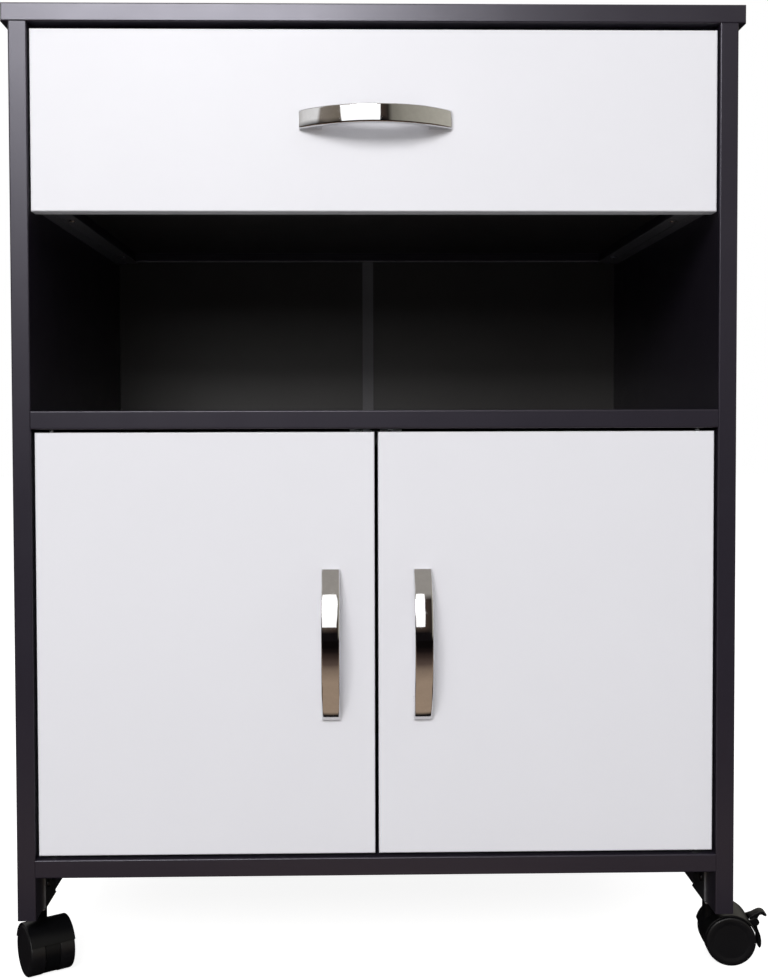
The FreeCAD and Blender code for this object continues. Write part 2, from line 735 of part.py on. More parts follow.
for hand, sign in hands.items():
    # the channel's own origin is on the cabinet side's inner face, at its lower front corner
    channel = new_body("cabinet_runner_" + hand, c("inner_half") * sign,
                       c("front_y") + c("runner_start"), c("runner_low"))
    sketch = new_sketch(channel, "XZ_Plane")
    lip = -steel - channel_room + steel
    draw_polygon(sketch, section(hand, [
        (size(0), 0), (size(0), c("runner_height")), (lip, c("runner_height")),
        (lip, c("runner_height") - steel), (-steel, c("runner_height") - steel),
        (-steel, steel), (lip, steel), (lip, 0)]))
    pad(channel, sketch, c("runner_length"), backwards=True)
    sketch = new_sketch(channel, "YZ_Plane")
    draw_circle(sketch, (c("roller_inset"), cabinet_roller_z), c("roller_pin_radius"))
    pad(channel, sketch, c("runner_room") - steel - c("runner_play") * 2, backwards=hand == "right")
    sketch = new_sketch(channel, "YZ_Plane")
    for row in (c("joint_inset"), c("runner_length") - c("joint_inset")):
        draw_circle(sketch, (row, c("runner_height") / 2), c("screw_radius") + c("hole_play"))
    cut(channel, sketch, steel * 2, both_ways=True)

    # the angle's own origin is on the drawer side's outer face, at its lower front corner
    angle = new_body("drawer_runner_" + hand, c("drawer_half") * sign, c("face_back_y"),
                     c("runner_low"))
    sketch = new_sketch(angle, "XZ_Plane")
    flange_out = c("runner_room") - steel - c("runner_play") * 2
    draw_polygon(sketch, section(hand, [
        (-c("drawer_board"), 0), (steel, 0), (steel, flange_under), (flange_out, flange_under),
        (flange_out, flange_under + steel), (size(0), flange_under + steel), (size(0), steel),
        (-c("drawer_board"), steel)]))
    pad(angle, sketch, c("drawer_depth"), backwards=True)
    sketch = new_sketch(angle, "YZ_Plane")
    draw_circle(sketch, (drawer_roller_y, drawer_roller_z), c("roller_pin_radius"))
    pad(angle, sketch, flange_out - c("runner_play"), backwards=hand == "left")
    sketch = new_sketch(angle, "XY_Plane")
    for row in (c("joint_inset"), c("drawer_depth") - c("joint_inset")):
        across = -c("drawer_board") / 2
        draw_circle(sketch, (across if hand == "right" else -across, row),
                    c("screw_radius") + c("hole_play"))
    cut(angle, sketch, steel * 2, both_ways=True)

    # the rollers turn on pins that stand out from the two runners
    roller_outline = [
        (c("roller_pin_radius") + c("fit_play"), 0), (c("roller_radius"), 0),
        (c("roller_radius"), c("roller_width")),
        (c("roller_pin_radius") + c("fit_play"), c("roller_width"))]
    roller_x = c("inner_half") - steel - c("runner_play") - c("roller_width")
    turned("cabinet_roller_" + hand, roller_outline,
           (roller_x if hand == "right" else -roller_x), c("front_y") + cabinet_roller_y,
           c("runner_low") + cabinet_roller_z, along[hand])
    roller_x = c("drawer_half") + steel + c("runner_play") / 2
    turned("drawer_roller_" + hand, roller_outline,
           (roller_x if hand == "right" else -roller_x), c("face_back_y") + drawer_roller_y,
           c("runner_low") + drawer_roller_z, along[hand])

# ---------------------------------------------------------------- doors

door_width = c("inner_half") - c("door_side_gap") - c("door_middle_gap") / 2
door_height = c("door_high") - c("door_low")
pivot_hole = c("pivot_radius") + c("fit_play")
for hand, sign in hands.items():
    door = block("door_" + hand, span(hand, c("door_middle_gap") / 2,
                                      c("inner_half") - c("door_side_gap")),
                 (c("face_y"), c("face_back_y")), (c("door_low"), c("door_high")))
    round_edges(door, c("edge_round"), front_edges)
    from_free_edge = c("door_handle_inset") if hand == "right" else door_width - c("door_handle_inset")
    drill(door, "front", [(from_free_edge, door_height / 2 - half_spacing),
                          (from_free_edge, door_height / 2 + half_spacing)],
          handle_hole, c("board"))
    pivot_from_edge = c("pivot_inset") - c("door_side_gap")
    pivot_column = door_width - pivot_from_edge if hand == "right" else pivot_from_edge
    for face in ("under", "upper"):
        drill(door, face, [(pivot_column, c("board") / 2)], pivot_hole,
              c("pivot_hold") + c("hole_play"))

pin_reach = c("door_end_gap") + c("socket_depth") - c("hole_play") * 5
pivot_pin = turned("pivot_pin", [
    (0, -c("pivot_hold")), (c("pivot_radius"), -c("pivot_hold")),
    (c("pivot_radius"), pin_reach), (0, pin_reach)], keep=False)
socket = turned("socket", [
    (c("pivot_radius") + c("fit_play"), -c("socket_flange")),
    (c("socket_flange_radius"), -c("socket_flange")), (c("socket_flange_radius"), 0),
    (c("socket_radius"), 0), (c("socket_radius"), c("socket_depth")),
    (c("pivot_radius") + c("fit_play"), c("socket_depth"))], keep=False)
socket_places = []
for hand, sign in hands.items():
    x = c("pivot_x") * sign
    group("pivot_pins_" + hand, pivot_pin, [
        Placement(spot(x, c("pivot_y"), c("door_high")), along["up"]),
        Placement(spot(x, c("pivot_y"), c("door_low")), along["down"])])
    socket_places.append(Placement(spot(x, c("pivot_y"), c("shelf_low")), along["up"]))
    socket_places.append(Placement(spot(x, c("pivot_y"), c("bottom_top")), along["down"]))
group("pivot_sockets", socket, socket_places)

# ---------------------------------------------------------------- handles

half_length = c("handle_length") / 2
rise = c("handle_reach") - c("handle_end")
outer_arc = (half_length * half_length + rise * rise) / (rise * 2)
inner_arc = outer_arc - c("handle_thick")
arc_drop = outer_arc - c("handle_reach")
foot_half = half_spacing - c("handle_foot_inside")
crook_height = (inner_arc * inner_arc - foot_half * foot_half).root() - arc_drop


def draw_arc(sketch, half_chord, height, radius):
    """An arc over the handle's middle from its right end to its left end."""
    centre = Vector(half_length.number, height.number
                    - math.sqrt(radius.number ** 2 - half_chord.number ** 2), 0)
    lean = math.acos(half_chord.number / radius.number)
    circle = Part.Circle(centre, Vector(0, 0, 1), radius.number)
    arc = sketch.addGeometry(Part.ArcOfCircle(circle, lean, math.pi - lean))
    held = sketch.addConstraint(Sketcher.Constraint("Radius", arc, radius.number))
    sketch.setExpression("Constraints[%d]" % held, radius.formula)
    return arc


def handle(label, x, y, z, rotation):
    """A bow of flat bar on two feet, drawn flat: length across, reach up, width thick."""
    body = new_body(label, x, y, z, rotation)
    sketch = new_sketch(body, "XY_Plane")
    left_foot = half_length - foot_half
    right_foot = half_length + foot_half
    # straight runs, each from one corner to the next: right end, right foot, left foot, left end
    runs = [
        ((c("handle_length"), c("handle_end")), (c("handle_length"), 0)),
        ((c("handle_length"), 0), (right_foot, 0)),
        ((right_foot, 0), (right_foot, crook_height)),
        ((left_foot, crook_height), (left_foot, 0)),
        ((left_foot, 0), (0, 0)),
        ((0, 0), (0, c("handle_end")))]
    for start, end in runs:
        sketch.addGeometry(Part.LineSegment(at(*start), at(*end)))
    for index, (start, end) in enumerate(runs):
        hold(sketch, index, 1, *start)
        if index in (2, 5):
            hold(sketch, index, 2, *end)
    for first, second in ((0, 1), (1, 2), (3, 4), (4, 5)):
        sketch.addConstraint(Sketcher.Constraint("Coincident", first, 2, second, 1))
    inner = draw_arc(sketch, foot_half, crook_height, inner_arc)
    sketch.addConstraint(Sketcher.Constraint("Coincident", inner, 1, 2, 2))
    sketch.addConstraint(Sketcher.Constraint("Coincident", inner, 2, 3, 1))
    outer = draw_arc(sketch, half_length, c("handle_end"), outer_arc)
    sketch.addConstraint(Sketcher.Constraint("Coincident", outer, 1, 0, 1))
    sketch.addConstraint(Sketcher.Constraint("Coincident", outer, 2, 5, 2))
    pad(body, sketch, c("handle_width"))
    middle = c("handle_length").number / 2

    def crook(start, end, edge):
        return (near(start.x, end.x) and near(abs(start.x - middle), foot_half.number)
                and start.y > 1 and end.y > 1)

    def outer_rim(start, end, edge):
        """The two long arcs of the outer face and the two short ends that close it."""
        on_rim = near(start.y, c("handle_end").number) and near(end.y, c("handle_end").number)
        return on_rim and (edge.Length > c("handle_length").number or near(start.x, end.x))

    round_edges(body, c("handle_crook"), crook)
    round_edges(body, c("handle_round"), outer_rim)
    for column in (c("handle_length") / 2 - half_spacing, c("handle_length") / 2 + half_spacing):
        sketch = new_sketch(body, "XZ_Plane")
        draw_circle(sketch, (column, c("handle_width") / 2), c("handle_screw_radius") + c("fit_play"))
        cut(body, sketch, c("handle_screw_bite") + c("hole_play"))
    return body


# lying, the handle's reach turns to the front; standing, its length turns upright as well
lying = Rotation(Vector(1, 0, 0), 180)
standing = Rotation(Vector(0, 0, 1), Vector(0, -1, 0), Vector(1, 0, 0), "XYZ")
drawer_handle_z = (c("drawer_front_low") + c("drawer_front_high")) / 2
door_handle_z = (c("door_low") + c("door_high")) / 2
door_handle_x = c("door_middle_gap") / 2 + c("door_handle_inset")
handle("drawer_handle", -half_length, c("face_y"), drawer_handle_z + c("handle_width") / 2, lying)
for hand, sign in hands.items():
    handle("door_handle_" + hand, door_handle_x * sign - c("handle_width") / 2, c("face_y"),
           door_handle_z - half_length, standing)

handle_screw_reach = c("board") + c("handle_screw_bite")
handle_screw = turned("handle_screw", [
    (0, -c("handle_screw_head")), (c("handle_screw_head_radius"), -c("handle_screw_head")),
    (c("handle_screw_head_radius"), 0), (c("handle_screw_radius"), 0),
    (c("handle_screw_radius"), handle_screw_reach), (0, handle_screw_reach)], keep=False)
group("drawer_handle_screws", handle_screw, [
    Placement(spot(half_spacing * sign, c("face_back_y"), drawer_handle_z), forward)
    for sign in hands.values()])
for hand, sign in hands.items():
    group("door_handle_screws_" + hand, handle_screw, [
        Placement(spot(door_handle_x * sign, c("face_back_y"), door_handle_z + half_spacing * end),
                  forward) for end in hands.values()])

# ---------------------------------------------------------------- magnetic catch

catch_front = c("face_back_y") + c("strike_steel") + c("strike_gap") + c("magnet_proud")
catch_low = c("shelf_low") - c("catch_height")
magnet_low = (c("catch_height") - c("magnet_height")) / 2
magnet_middle = c("door_middle_gap") / 2 + c("strike_width") / 2 + c("strike_gap") * 5
catch_body = block("catch_body", (-c("catch_width") / 2, c("catch_width") / 2),
                   (catch_front, catch_front + c("catch_depth")), (catch_low, c("shelf_low")))
magnet_places = []
for sign in hands.values():
    column = c("catch_width") / 2 + magnet_middle * sign - c("magnet_width") / 2
    recess(catch_body, "front", (column, column + c("magnet_width")),
           (magnet_low, magnet_low + c("magnet_height")), c("magnet_depth") - c("magnet_proud"))
drill(catch_body, "under", [(c("catch_width") / 2, c("catch_depth") / 2)],
      c("screw_radius") + c("hole_play"), c("catch_height"))
drill(catch_body, "under", [(c("catch_width") / 2, c("catch_depth") / 2)],
      c("screw_head_radius") + c("hole_play"), c("catch_height") - c("screw_length") / 2)
magnet = new_body("magnet", keep=False)
magnet_sketch = new_sketch(magnet, "XY_Plane")
draw_rectangle(magnet_sketch, (0, c("magnet_width")), (0, c("magnet_depth")))
pad(magnet, magnet_sketch, c("magnet_height"))
group("catch_magnets", magnet, [
    Placement(spot(magnet_middle * sign - c("magnet_width") / 2, catch_front - c("magnet_proud"),
                   catch_low + magnet_low), along["up"]) for sign in hands.values()])
for hand in hands:
    plate_low = catch_low + (c("catch_height") - c("strike_height")) / 2
    block("strike_plate_" + hand,
          span(hand, magnet_middle - c("strike_width") / 2, magnet_middle + c("strike_width") / 2),
          (c("face_back_y"), c("face_back_y") + c("strike_steel")),
          (plate_low, plate_low + c("strike_height")))

# ---------------------------------------------------------------- caster brackets and stems

# each corner: its hand, its row, the way its wheels trail and whether it has a brake
corners = {
    "front_left": ("left", "caster_front_y", -58.7, False),
    "front_right": ("right", "caster_front_y", -4.8, True),
    "rear_left": ("left", "caster_rear_y", 175.2, True),
    "rear_right": ("right", "caster_rear_y", 112.0, False),
}

flange_width = c("board") + c("bracket_steel")
bracket = new_body("bracket", keep=False)
# the section of the bracket: a flange under the side board and a leg up its inner face
bracket_section = new_sketch(bracket, "XZ_Plane")
leg_high = c("bracket_leg") + c("bracket_steel")
draw_polygon(bracket_section, [
    (0, 0), (flange_width, 0), (flange_width, c("bracket_steel")),
    (c("bracket_steel"), c("bracket_steel")), (c("bracket_steel"), leg_high), (0, leg_high)])
pad(bracket, bracket_section, c("bracket_length"), both_ways=True)
leg_trim = new_sketch(bracket, "YZ_Plane")
leg_half = c("bracket_leg_length") / 2
for sign in hands.values():
    across = (leg_half * sign, c("bracket_length") * sign)
    draw_rectangle(leg_trim, across, (c("bracket_steel"), leg_high * 2))
cut(bracket, leg_trim, c("bracket_steel") * 2, both_ways=True)
stem_column = c("bracket_steel") + c("board") / 2
stem_hole = new_sketch(bracket, "XY_Plane")
draw_circle(stem_hole, (stem_column, 0), c("stem_radius") + c("fit_play"))
cut(bracket, stem_hole, c("bracket_steel") * 3, both_ways=True)
screw_rows = [c("bracket_leg_length") / 4 * sign for sign in hands.values()]
bracket_screw_z = c("bracket_leg") * 0.6
screw_holes = new_sketch(bracket, "YZ_Plane")
for row in screw_rows:
    draw_circle(screw_holes, (row, bracket_screw_z), c("screw_radius") + c("hole_play"))
cut(bracket, screw_holes, c("bracket_steel") * 3, both_ways=True)


def bend(start, end, edge):
    """The outside of the bend between the flange and the leg."""
    return near(start.x, 0) and near(end.x, 0) and near(start.z, 0) and near(end.z, 0)


def plate_corners(start, end, edge):
    """The two free corners of the flange and the two of the leg."""
    on_flange = near(start.x, flange_width.number) and near(start.x, end.x) and near(start.y, end.y)
    on_leg = near(start.z, leg_high.number) and near(start.z, end.z) and near(start.y, end.y)
    return on_flange or on_leg


round_edges(bracket, c("bracket_bend"), bend)
round_edges(bracket, c("bracket_corner"), plate_corners)

bracket_places, stem_places, hardware_places = [], [], []
for hand, row, trailing, braked in corners.values():
    sign = hands[hand]
    inward = Rotation() if hand == "right" else Rotation(Vector(0, 0, 1), 180)
    corner_x = (c("inner_half") - c("bracket_steel")) * sign
    bracket_low = c("caster_height") - c("bracket_steel")
    bracket_places.append(Placement(spot(corner_x, c(row), bracket_low), inward))
    stem_places.append(Placement(spot(c("caster_x") * sign, c(row), c("caster_height")), along["down"]))
    for offset in screw_rows:
        hardware_places.append(Placement(
            spot(corner_x, c(row) + offset, bracket_low + bracket_screw_z), along[hand]))
group("caster_brackets", bracket, bracket_places)

stem = turned("stem", [
    (0, 0), (c("stem_radius"), 0), (c("stem_radius"), c("stem_depth")), (0, c("stem_depth"))],
    keep=False)
group("swivel_stems", stem, stem_places)

# the same pan-head screw holds the brackets, the cabinet runners and the catch
screw = turned("screw", [
    (0, -c("screw_head")), (c("screw_head_radius"), -c("screw_head")), (c("screw_head_radius"), 0),
    (c("screw_radius"), 0), (c("screw_radius"), c("screw_length")), (0, c("screw_length"))],
    keep=False)
for hand, sign in hands.items():
    for row in (c("joint_inset"), c("runner_length") - c("joint_inset")):
        hardware_places.append(Placement(
            spot((c("inner_half") - steel) * sign, c("front_y") + c("runner_start") + row,
                 c("runner_low") + c("runner_height") / 2), along[hand]))
catch_screw_z = c("shelf_low") - c("screw_length") / 2
hardware_places.append(Placement(
    spot(0, catch_front + c("catch_depth") / 2, catch_screw_z), along["up"]))
group("hardware_screws", screw, hardware_places)

# ---------------------------------------------------------------- casters
# A caster's own origin is under its stem on the floor: X trails, Y is the way of the axle.

wheel_centre = (c("trail"), c("wheel_radius"))
pivot_distance = c("hood_outer") + c("lever_pin_radius") * 2 + c("lever_play") * 2
lever_pivot = (c("trail") + pivot_distance * math.cos(math.radians(lever_pivot_angle)),
               c("wheel_radius") + pivot_distance * math.sin(math.radians(lever_pivot_angle)))
ear_radius = c("lever_pin_radius") * 2
lever_gap = c("lever_width") / 2 + c("lever_play")


def polar(radius, angle):
    """A point at a distance and angle from the wheels' centre."""
    return (c("trail") + radius * round(math.cos(math.radians(angle)), 6),
            c("wheel_radius") + radius * round(math.sin(math.radians(angle)), 6))


def caster_hood(label, x, y, trailing, braked):
    """A moulded hood over both wheels, on a web that holds the axle and takes the stem."""
    body = new_body(label, x, y, 0, Rotation(Vector(0, 0, 1), trailing))
    # the hood's arc over the top of the wheels, closed along two spokes to the centre
    hood = new_sketch(body, "XZ_Plane")
    start = polar(c("hood_outer"), hood_trailing_angle)
    end = polar(c("hood_outer"), hood_leading_angle)
    circle = Part.Circle(at(*wheel_centre), Vector(0, 0, 1), c("hood_outer").number)
    arc = hood.addGeometry(Part.ArcOfCircle(circle, math.radians(hood_trailing_angle),
                                            math.radians(hood_leading_angle)))
    spoke_in = hood.addGeometry(Part.LineSegment(at(*end), at(*wheel_centre)))
    spoke_out = hood.addGeometry(Part.LineSegment(at(*wheel_centre), at(*start)))
    hood.addConstraint(Sketcher.Constraint("Coincident", arc, 2, spoke_in, 1))
    hood.addConstraint(Sketcher.Constraint("Coincident", spoke_in, 2, spoke_out, 1))
    hood.addConstraint(Sketcher.Constraint("Coincident", spoke_out, 2, arc, 1))
    hold(hood, spoke_in, 2, *wheel_centre)
    hold(hood, arc, 1, *start)
    hold(hood, arc, 2, *end)
    held = hood.addConstraint(Sketcher.Constraint("Radius", arc, c("hood_outer").number))
    hood.setExpression("Constraints[%d]" % held, c("hood_outer").formula)
    pad(body, hood, c("caster_half_width") * 2, both_ways=True)
    round_edges(body, c("hood_round"), lambda first, second, edge: (
        near(first.y, second.y) and edge.Length > c("hood_outer").number * 1.5))
    # the neck that the stem turns in
    neck = new_sketch(body, "XY_Plane", c("wheel_radius"))
    draw_circle(neck, (0, 0), c("neck_radius"))
    neck_high = c("caster_height") - c("bracket_steel") - c("neck_play")
    pad(body, neck, neck_high - c("wheel_radius"))
    # room for the two wheels, one each side of the web
    for sign in (-1, 1):
        room = new_sketch(body, "XZ_Plane", c("web_width") / 2 * sign)
        draw_circle(room, wheel_centre, c("hood_inner"))
        cut(body, room, c("caster_half_width") * 2, backwards=sign == 1)
    web = new_sketch(body, "XZ_Plane")
    draw_circle(web, wheel_centre, c("web_radius"))
    pad(body, web, c("web_width"), both_ways=True)
    if braked:
        for sign in (-1, 1):
            ear = new_sketch(body, "XZ_Plane", (lever_gap + c("lever_ear") / 2) * sign)
            inner = c("hood_outer") - c("hood_wall") / 2
            draw_polygon(ear, [
                polar(inner, hood_trailing_angle + 2), polar(inner, hood_trailing_angle + 16),
                (lever_pivot[0], lever_pivot[1] + ear_radius),
                (lever_pivot[0], lever_pivot[1] - ear_radius)])
            pad(body, ear, c("lever_ear"), both_ways=True)
            eye = new_sketch(body, "XZ_Plane", (lever_gap + c("lever_ear") / 2) * sign)
            draw_circle(eye, lever_pivot, ear_radius)
            pad(body, eye, c("lever_ear"), both_ways=True)
        pin = new_sketch(body, "XZ_Plane")
        draw_circle(pin, lever_pivot, c("lever_pin_radius"))
        pad(body, pin, (lever_gap + c("lever_ear") / 2) * 2, both_ways=True)
    bore = new_sketch(body, "XY_Plane", neck_high)
    draw_circle(bore, (0, 0), c("stem_radius") + c("fit_play"))
    cut(body, bore, c("stem_depth") - c("bracket_steel") + c("neck_play"))
    axle_hole = new_sketch(body, "XZ_Plane")
    draw_circle(axle_hole, wheel_centre, c("axle_radius") + c("fit_play"))
    cut(body, axle_hole, c("web_width") * 2, both_ways=True)
    return body


# one wheel, turned about its axle from its inner face to its outer face
inner_face_at = c("web_width") / 2 + c("wheel_gap")
outer_face_at = c("caster_half_width")
lip_radius = c("wheel_radius") - c("wheel_round")
blind_end = outer_face_at - c("axle_cover")
# the rounded rim of the tread, through the middle of its quarter circle
rim_drop = c("wheel_round") * (1 - round(math.sqrt(0.5), 6))
wheel = turned("wheel", [
    (c("axle_radius") + c("fit_play"), inner_face_at), (c("wheel_radius"), inner_face_at),
    (c("wheel_radius"), outer_face_at - c("wheel_round")),
    (c("wheel_radius") - rim_drop, outer_face_at - rim_drop), (lip_radius, outer_face_at),
    (lip_radius - c("wheel_lip"), outer_face_at),
    (lip_radius - c("wheel_lip") - c("wheel_dish"), outer_face_at - c("wheel_dish")),
    (c("hub_radius"), outer_face_at - c("wheel_dish") / 2), (0, outer_face_at - c("wheel_dish") / 2),
    (0, blind_end), (c("axle_radius") + c("fit_play"), blind_end)], keep=False)

axle_half = blind_end - c("hole_play")
axle = turned("axle", [
    (0, -axle_half), (c("axle_radius"), -axle_half), (c("axle_radius"), axle_half), (0, axle_half)],
    keep=False)

lever_inner = c("lever_pin_radius") + c("fit_play")


def brake_lever(label, x, y, trailing):
    """A rocker on the hood's trailing edge: a pedal stands up and a tongue hangs behind the wheels."""
    body = new_body(label, x, y, 0, Rotation(Vector(0, 0, 1), trailing))
    hub = new_sketch(body, "XZ_Plane")
    draw_circle(hub, lever_pivot, ear_radius)
    pad(body, hub, c("lever_width"), both_ways=True)
    px, pz = lever_pivot
    reach, rise, plate = c("pedal_reach"), c("pedal_rise"), c("pedal_thick")
    pedal = new_sketch(body, "XZ_Plane")
    draw_polygon(pedal, [
        (px - ear_radius, pz), (px + ear_radius / 2, pz), (px + plate, pz + rise / 2),
        (px + reach - plate * 0.8, pz + plate * 0.7), (px + reach, pz + rise - plate * 1.5),
        (px + reach - plate, pz + rise), (px, pz + rise - plate / 2),
        (px - ear_radius - plate / 2, pz + plate)])
    pad(body, pedal, c("lever_width"), both_ways=True)
    drop, blade = c("tongue_drop"), c("tongue_thick")
    tongue = new_sketch(body, "XZ_Plane")
    draw_polygon(tongue, [
        (px + ear_radius * 0.9, pz), (px - ear_radius / 2, pz - ear_radius * 0.7),
        (px + ear_radius / 3, pz - ear_radius * 3), (px + ear_radius * 0.8, pz - drop * 0.61),
        (px + ear_radius * 0.9, pz - drop + blade * 0.6), (px + ear_radius + blade / 4, pz - drop),
        (px + ear_radius + blade * 0.8, pz - drop + blade * 0.4),
        (px + ear_radius + blade * 0.85, pz - drop * 0.73),
        (px + ear_radius + blade * 0.65, pz - drop * 0.54),
        (px + ear_radius * 0.9, pz - drop / 4)])
    pad(body, tongue, c("lever_width"), both_ways=True)
    away = ear_radius.number * 1.6

    def free_corner(start, end, edge):
        """A corner of the pedal or the tongue that is clear of the hub."""
        from_pivot = math.hypot(start.x - px.number, start.z - pz.number)
        return near(start.x, end.x) and near(start.z, end.z) and from_pivot > away

    round_edges(body, c("lever_round"), free_corner)
    bore = new_sketch(body, "XZ_Plane")
    draw_circle(bore, lever_pivot, lever_inner)
    cut(body, bore, c("lever_width") * 2, both_ways=True)
    return body


for corner, (hand, row, trailing, braked) in corners.items():
    x = c("caster_x") * hands[hand]
    caster_hood("caster_hood_" + corner, x, c(row), trailing, braked)
    heading = Rotation(Vector(0, 0, 1), trailing)
    centre = spot(x, c(row), 0) + heading.multVec(at(c("trail"), 0)) + spot(0, 0, c("wheel_radius"))
    outward = Rotation(Vector(1, 0, 0), -90)
    inward = Rotation(Vector(1, 0, 0), 90)
    group("caster_wheels_" + corner, wheel, [
        Placement(centre, heading.multiply(outward)), Placement(centre, heading.multiply(inward))])
    group("caster_axle_" + corner, axle, [Placement(centre, heading.multiply(outward))])
    if braked:
        brake_lever("brake_lever_" + corner, x, c(row), trailing)

# ---------------------------------------------------------------- checks and files

doc.recompute()
for thing in doc.Objects:
    if "Invalid" in thing.State or "Error" in thing.State:
        raise RuntimeError(thing.Label + " failed")
    if thing.TypeId == "PartDesign::Pocket":
        if thing.Shape.Volume > thing.BaseFeature.Shape.Volume - 0.1:
            raise RuntimeError(thing.Label + " cuts nothing")

for subpart in subparts:
    shape = subpart.Shape
    if shape.isNull() or not shape.isValid():
        raise RuntimeError(subpart.Label + " has no valid shape")

for subpart in subparts:
    subpart.Shape.exportStep("parts/" + subpart.Label + ".step")

print(len(subparts), "sub-parts written")
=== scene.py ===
import json
import math
from functools import partial
import bmesh
import bpy
import numpy as np
from mathutils import Matrix, Vector
from mathutils.geometry import tessellate_polygon


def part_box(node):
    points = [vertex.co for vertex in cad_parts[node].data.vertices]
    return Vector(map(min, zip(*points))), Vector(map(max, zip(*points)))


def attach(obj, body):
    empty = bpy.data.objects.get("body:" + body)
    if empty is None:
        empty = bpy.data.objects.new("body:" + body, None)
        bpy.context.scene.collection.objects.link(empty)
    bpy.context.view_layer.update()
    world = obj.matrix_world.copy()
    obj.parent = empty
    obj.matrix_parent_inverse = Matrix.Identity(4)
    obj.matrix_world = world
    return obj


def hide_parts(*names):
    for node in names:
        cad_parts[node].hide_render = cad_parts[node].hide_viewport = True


# The look of a rolling microwave stand: melamine boards, chrome bow handles, zinc hardware and
# black hooded casters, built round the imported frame. Sizes in the settings are in millimetres
# where no other unit is named, and meshes are in metres.

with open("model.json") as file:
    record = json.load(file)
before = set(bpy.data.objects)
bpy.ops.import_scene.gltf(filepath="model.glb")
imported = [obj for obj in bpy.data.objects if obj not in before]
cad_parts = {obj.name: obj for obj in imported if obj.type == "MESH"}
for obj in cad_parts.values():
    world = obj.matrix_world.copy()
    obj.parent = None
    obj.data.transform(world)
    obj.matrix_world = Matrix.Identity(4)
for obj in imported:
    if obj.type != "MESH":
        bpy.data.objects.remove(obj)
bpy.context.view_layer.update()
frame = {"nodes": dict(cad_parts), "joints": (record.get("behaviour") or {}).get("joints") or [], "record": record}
mm = 0.001
print("stage: frame loaded,", len(frame["nodes"]), "nodes")


# an sRGB hex colour as the linear values that shaders read
def linearColour(hexText):
    channels = [int(hexText[i:i + 2], 16) / 255 for i in (0, 2, 4)]
    linear = [v / 12.92 if v <= 0.04045 else ((v + 0.055) / 1.055) ** 2.4 for v in channels]
    return (*linear, 1.0)


# One shader node. Inputs map a socket's name or number to a value, a hex colour or the socket that
# feeds it, stops are the positions and hex colours of a ramp, and settings are the node's own.
# It gives back one output. A Mix of colours has them in 6 and 7 and its result in 2.
def addNode(tree, kind, inputs=None, out=0, stops=(), **settings):
    node = tree.nodes.new("ShaderNode" + kind)
    for name, value in settings.items():
        setattr(node, name, value)
    for key, value in (inputs or {}).items():
        if isinstance(value, bpy.types.NodeSocket):
            tree.links.new(value, node.inputs[key])
        else:
            node.inputs[key].default_value = linearColour(value) if isinstance(value, str) else value
    if stops:
        points = node.color_ramp.elements
        while len(points) < len(stops):
            points.new(0.5)
        for point, (position, colour) in zip(points, stops):
            point.position = position
            point.color = linearColour(colour)
    return node.outputs[out] if node.outputs else None


# an empty material, and the function that adds nodes to it
def newMaterial(name):
    material = bpy.data.materials.new(name)
    material.use_nodes = True
    material.node_tree.nodes.clear()
    return material, partial(addNode, material.node_tree)


# the same material, once a shader with these inputs stands at its end
def finishMaterial(material, add, inputs):
    add("OutputMaterial", {"Surface": add("BsdfPrincipled", inputs)})
    return material


# a texture's scale for grains of a size in millimetres: how many lie along a metre
def perMetre(size):
    return 1 / (size * mm)


# Melamine is decor paper pressed on chipboard. The eye gets a satin resin film over an even tone
# that clouds a little, with paler specks. The film's pearl emboss, about 0.3 mm on the real board,
# is drawn at 0.7 mm so that it shows.
melamineLook = {
    "cloud": 90, "speck": 0.9, "speckRange": (0.55, 0.75), "speckShare": 0.10,
    "sheen": 35, "sheenSpread": 0.03, "pearl": 0.7, "pearlDepth": 0.02, "wave": 28, "waveDepth": 0.05,
    "chip": 2.4, "chipRoughness": 0.85, "chipTones": [(0.0, "5d4426"), (0.5, "8b6d45"), (1.0, "b79b70")],
    # the next colour is a painted highlight on the drawer box's downward faces
    "foil": "aeacb1", "square": 0.9}
charcoalTone = {"hex": "25212a", "spread": 1.07, "specular": 0.63, "gloss": "f4f2ff"}
topTone = {**charcoalTone, "specular": 0.76}
whiteTone = {"hex": "eae9ee", "spread": 1.012, "specular": 0.35, "gloss": "ffffff"}


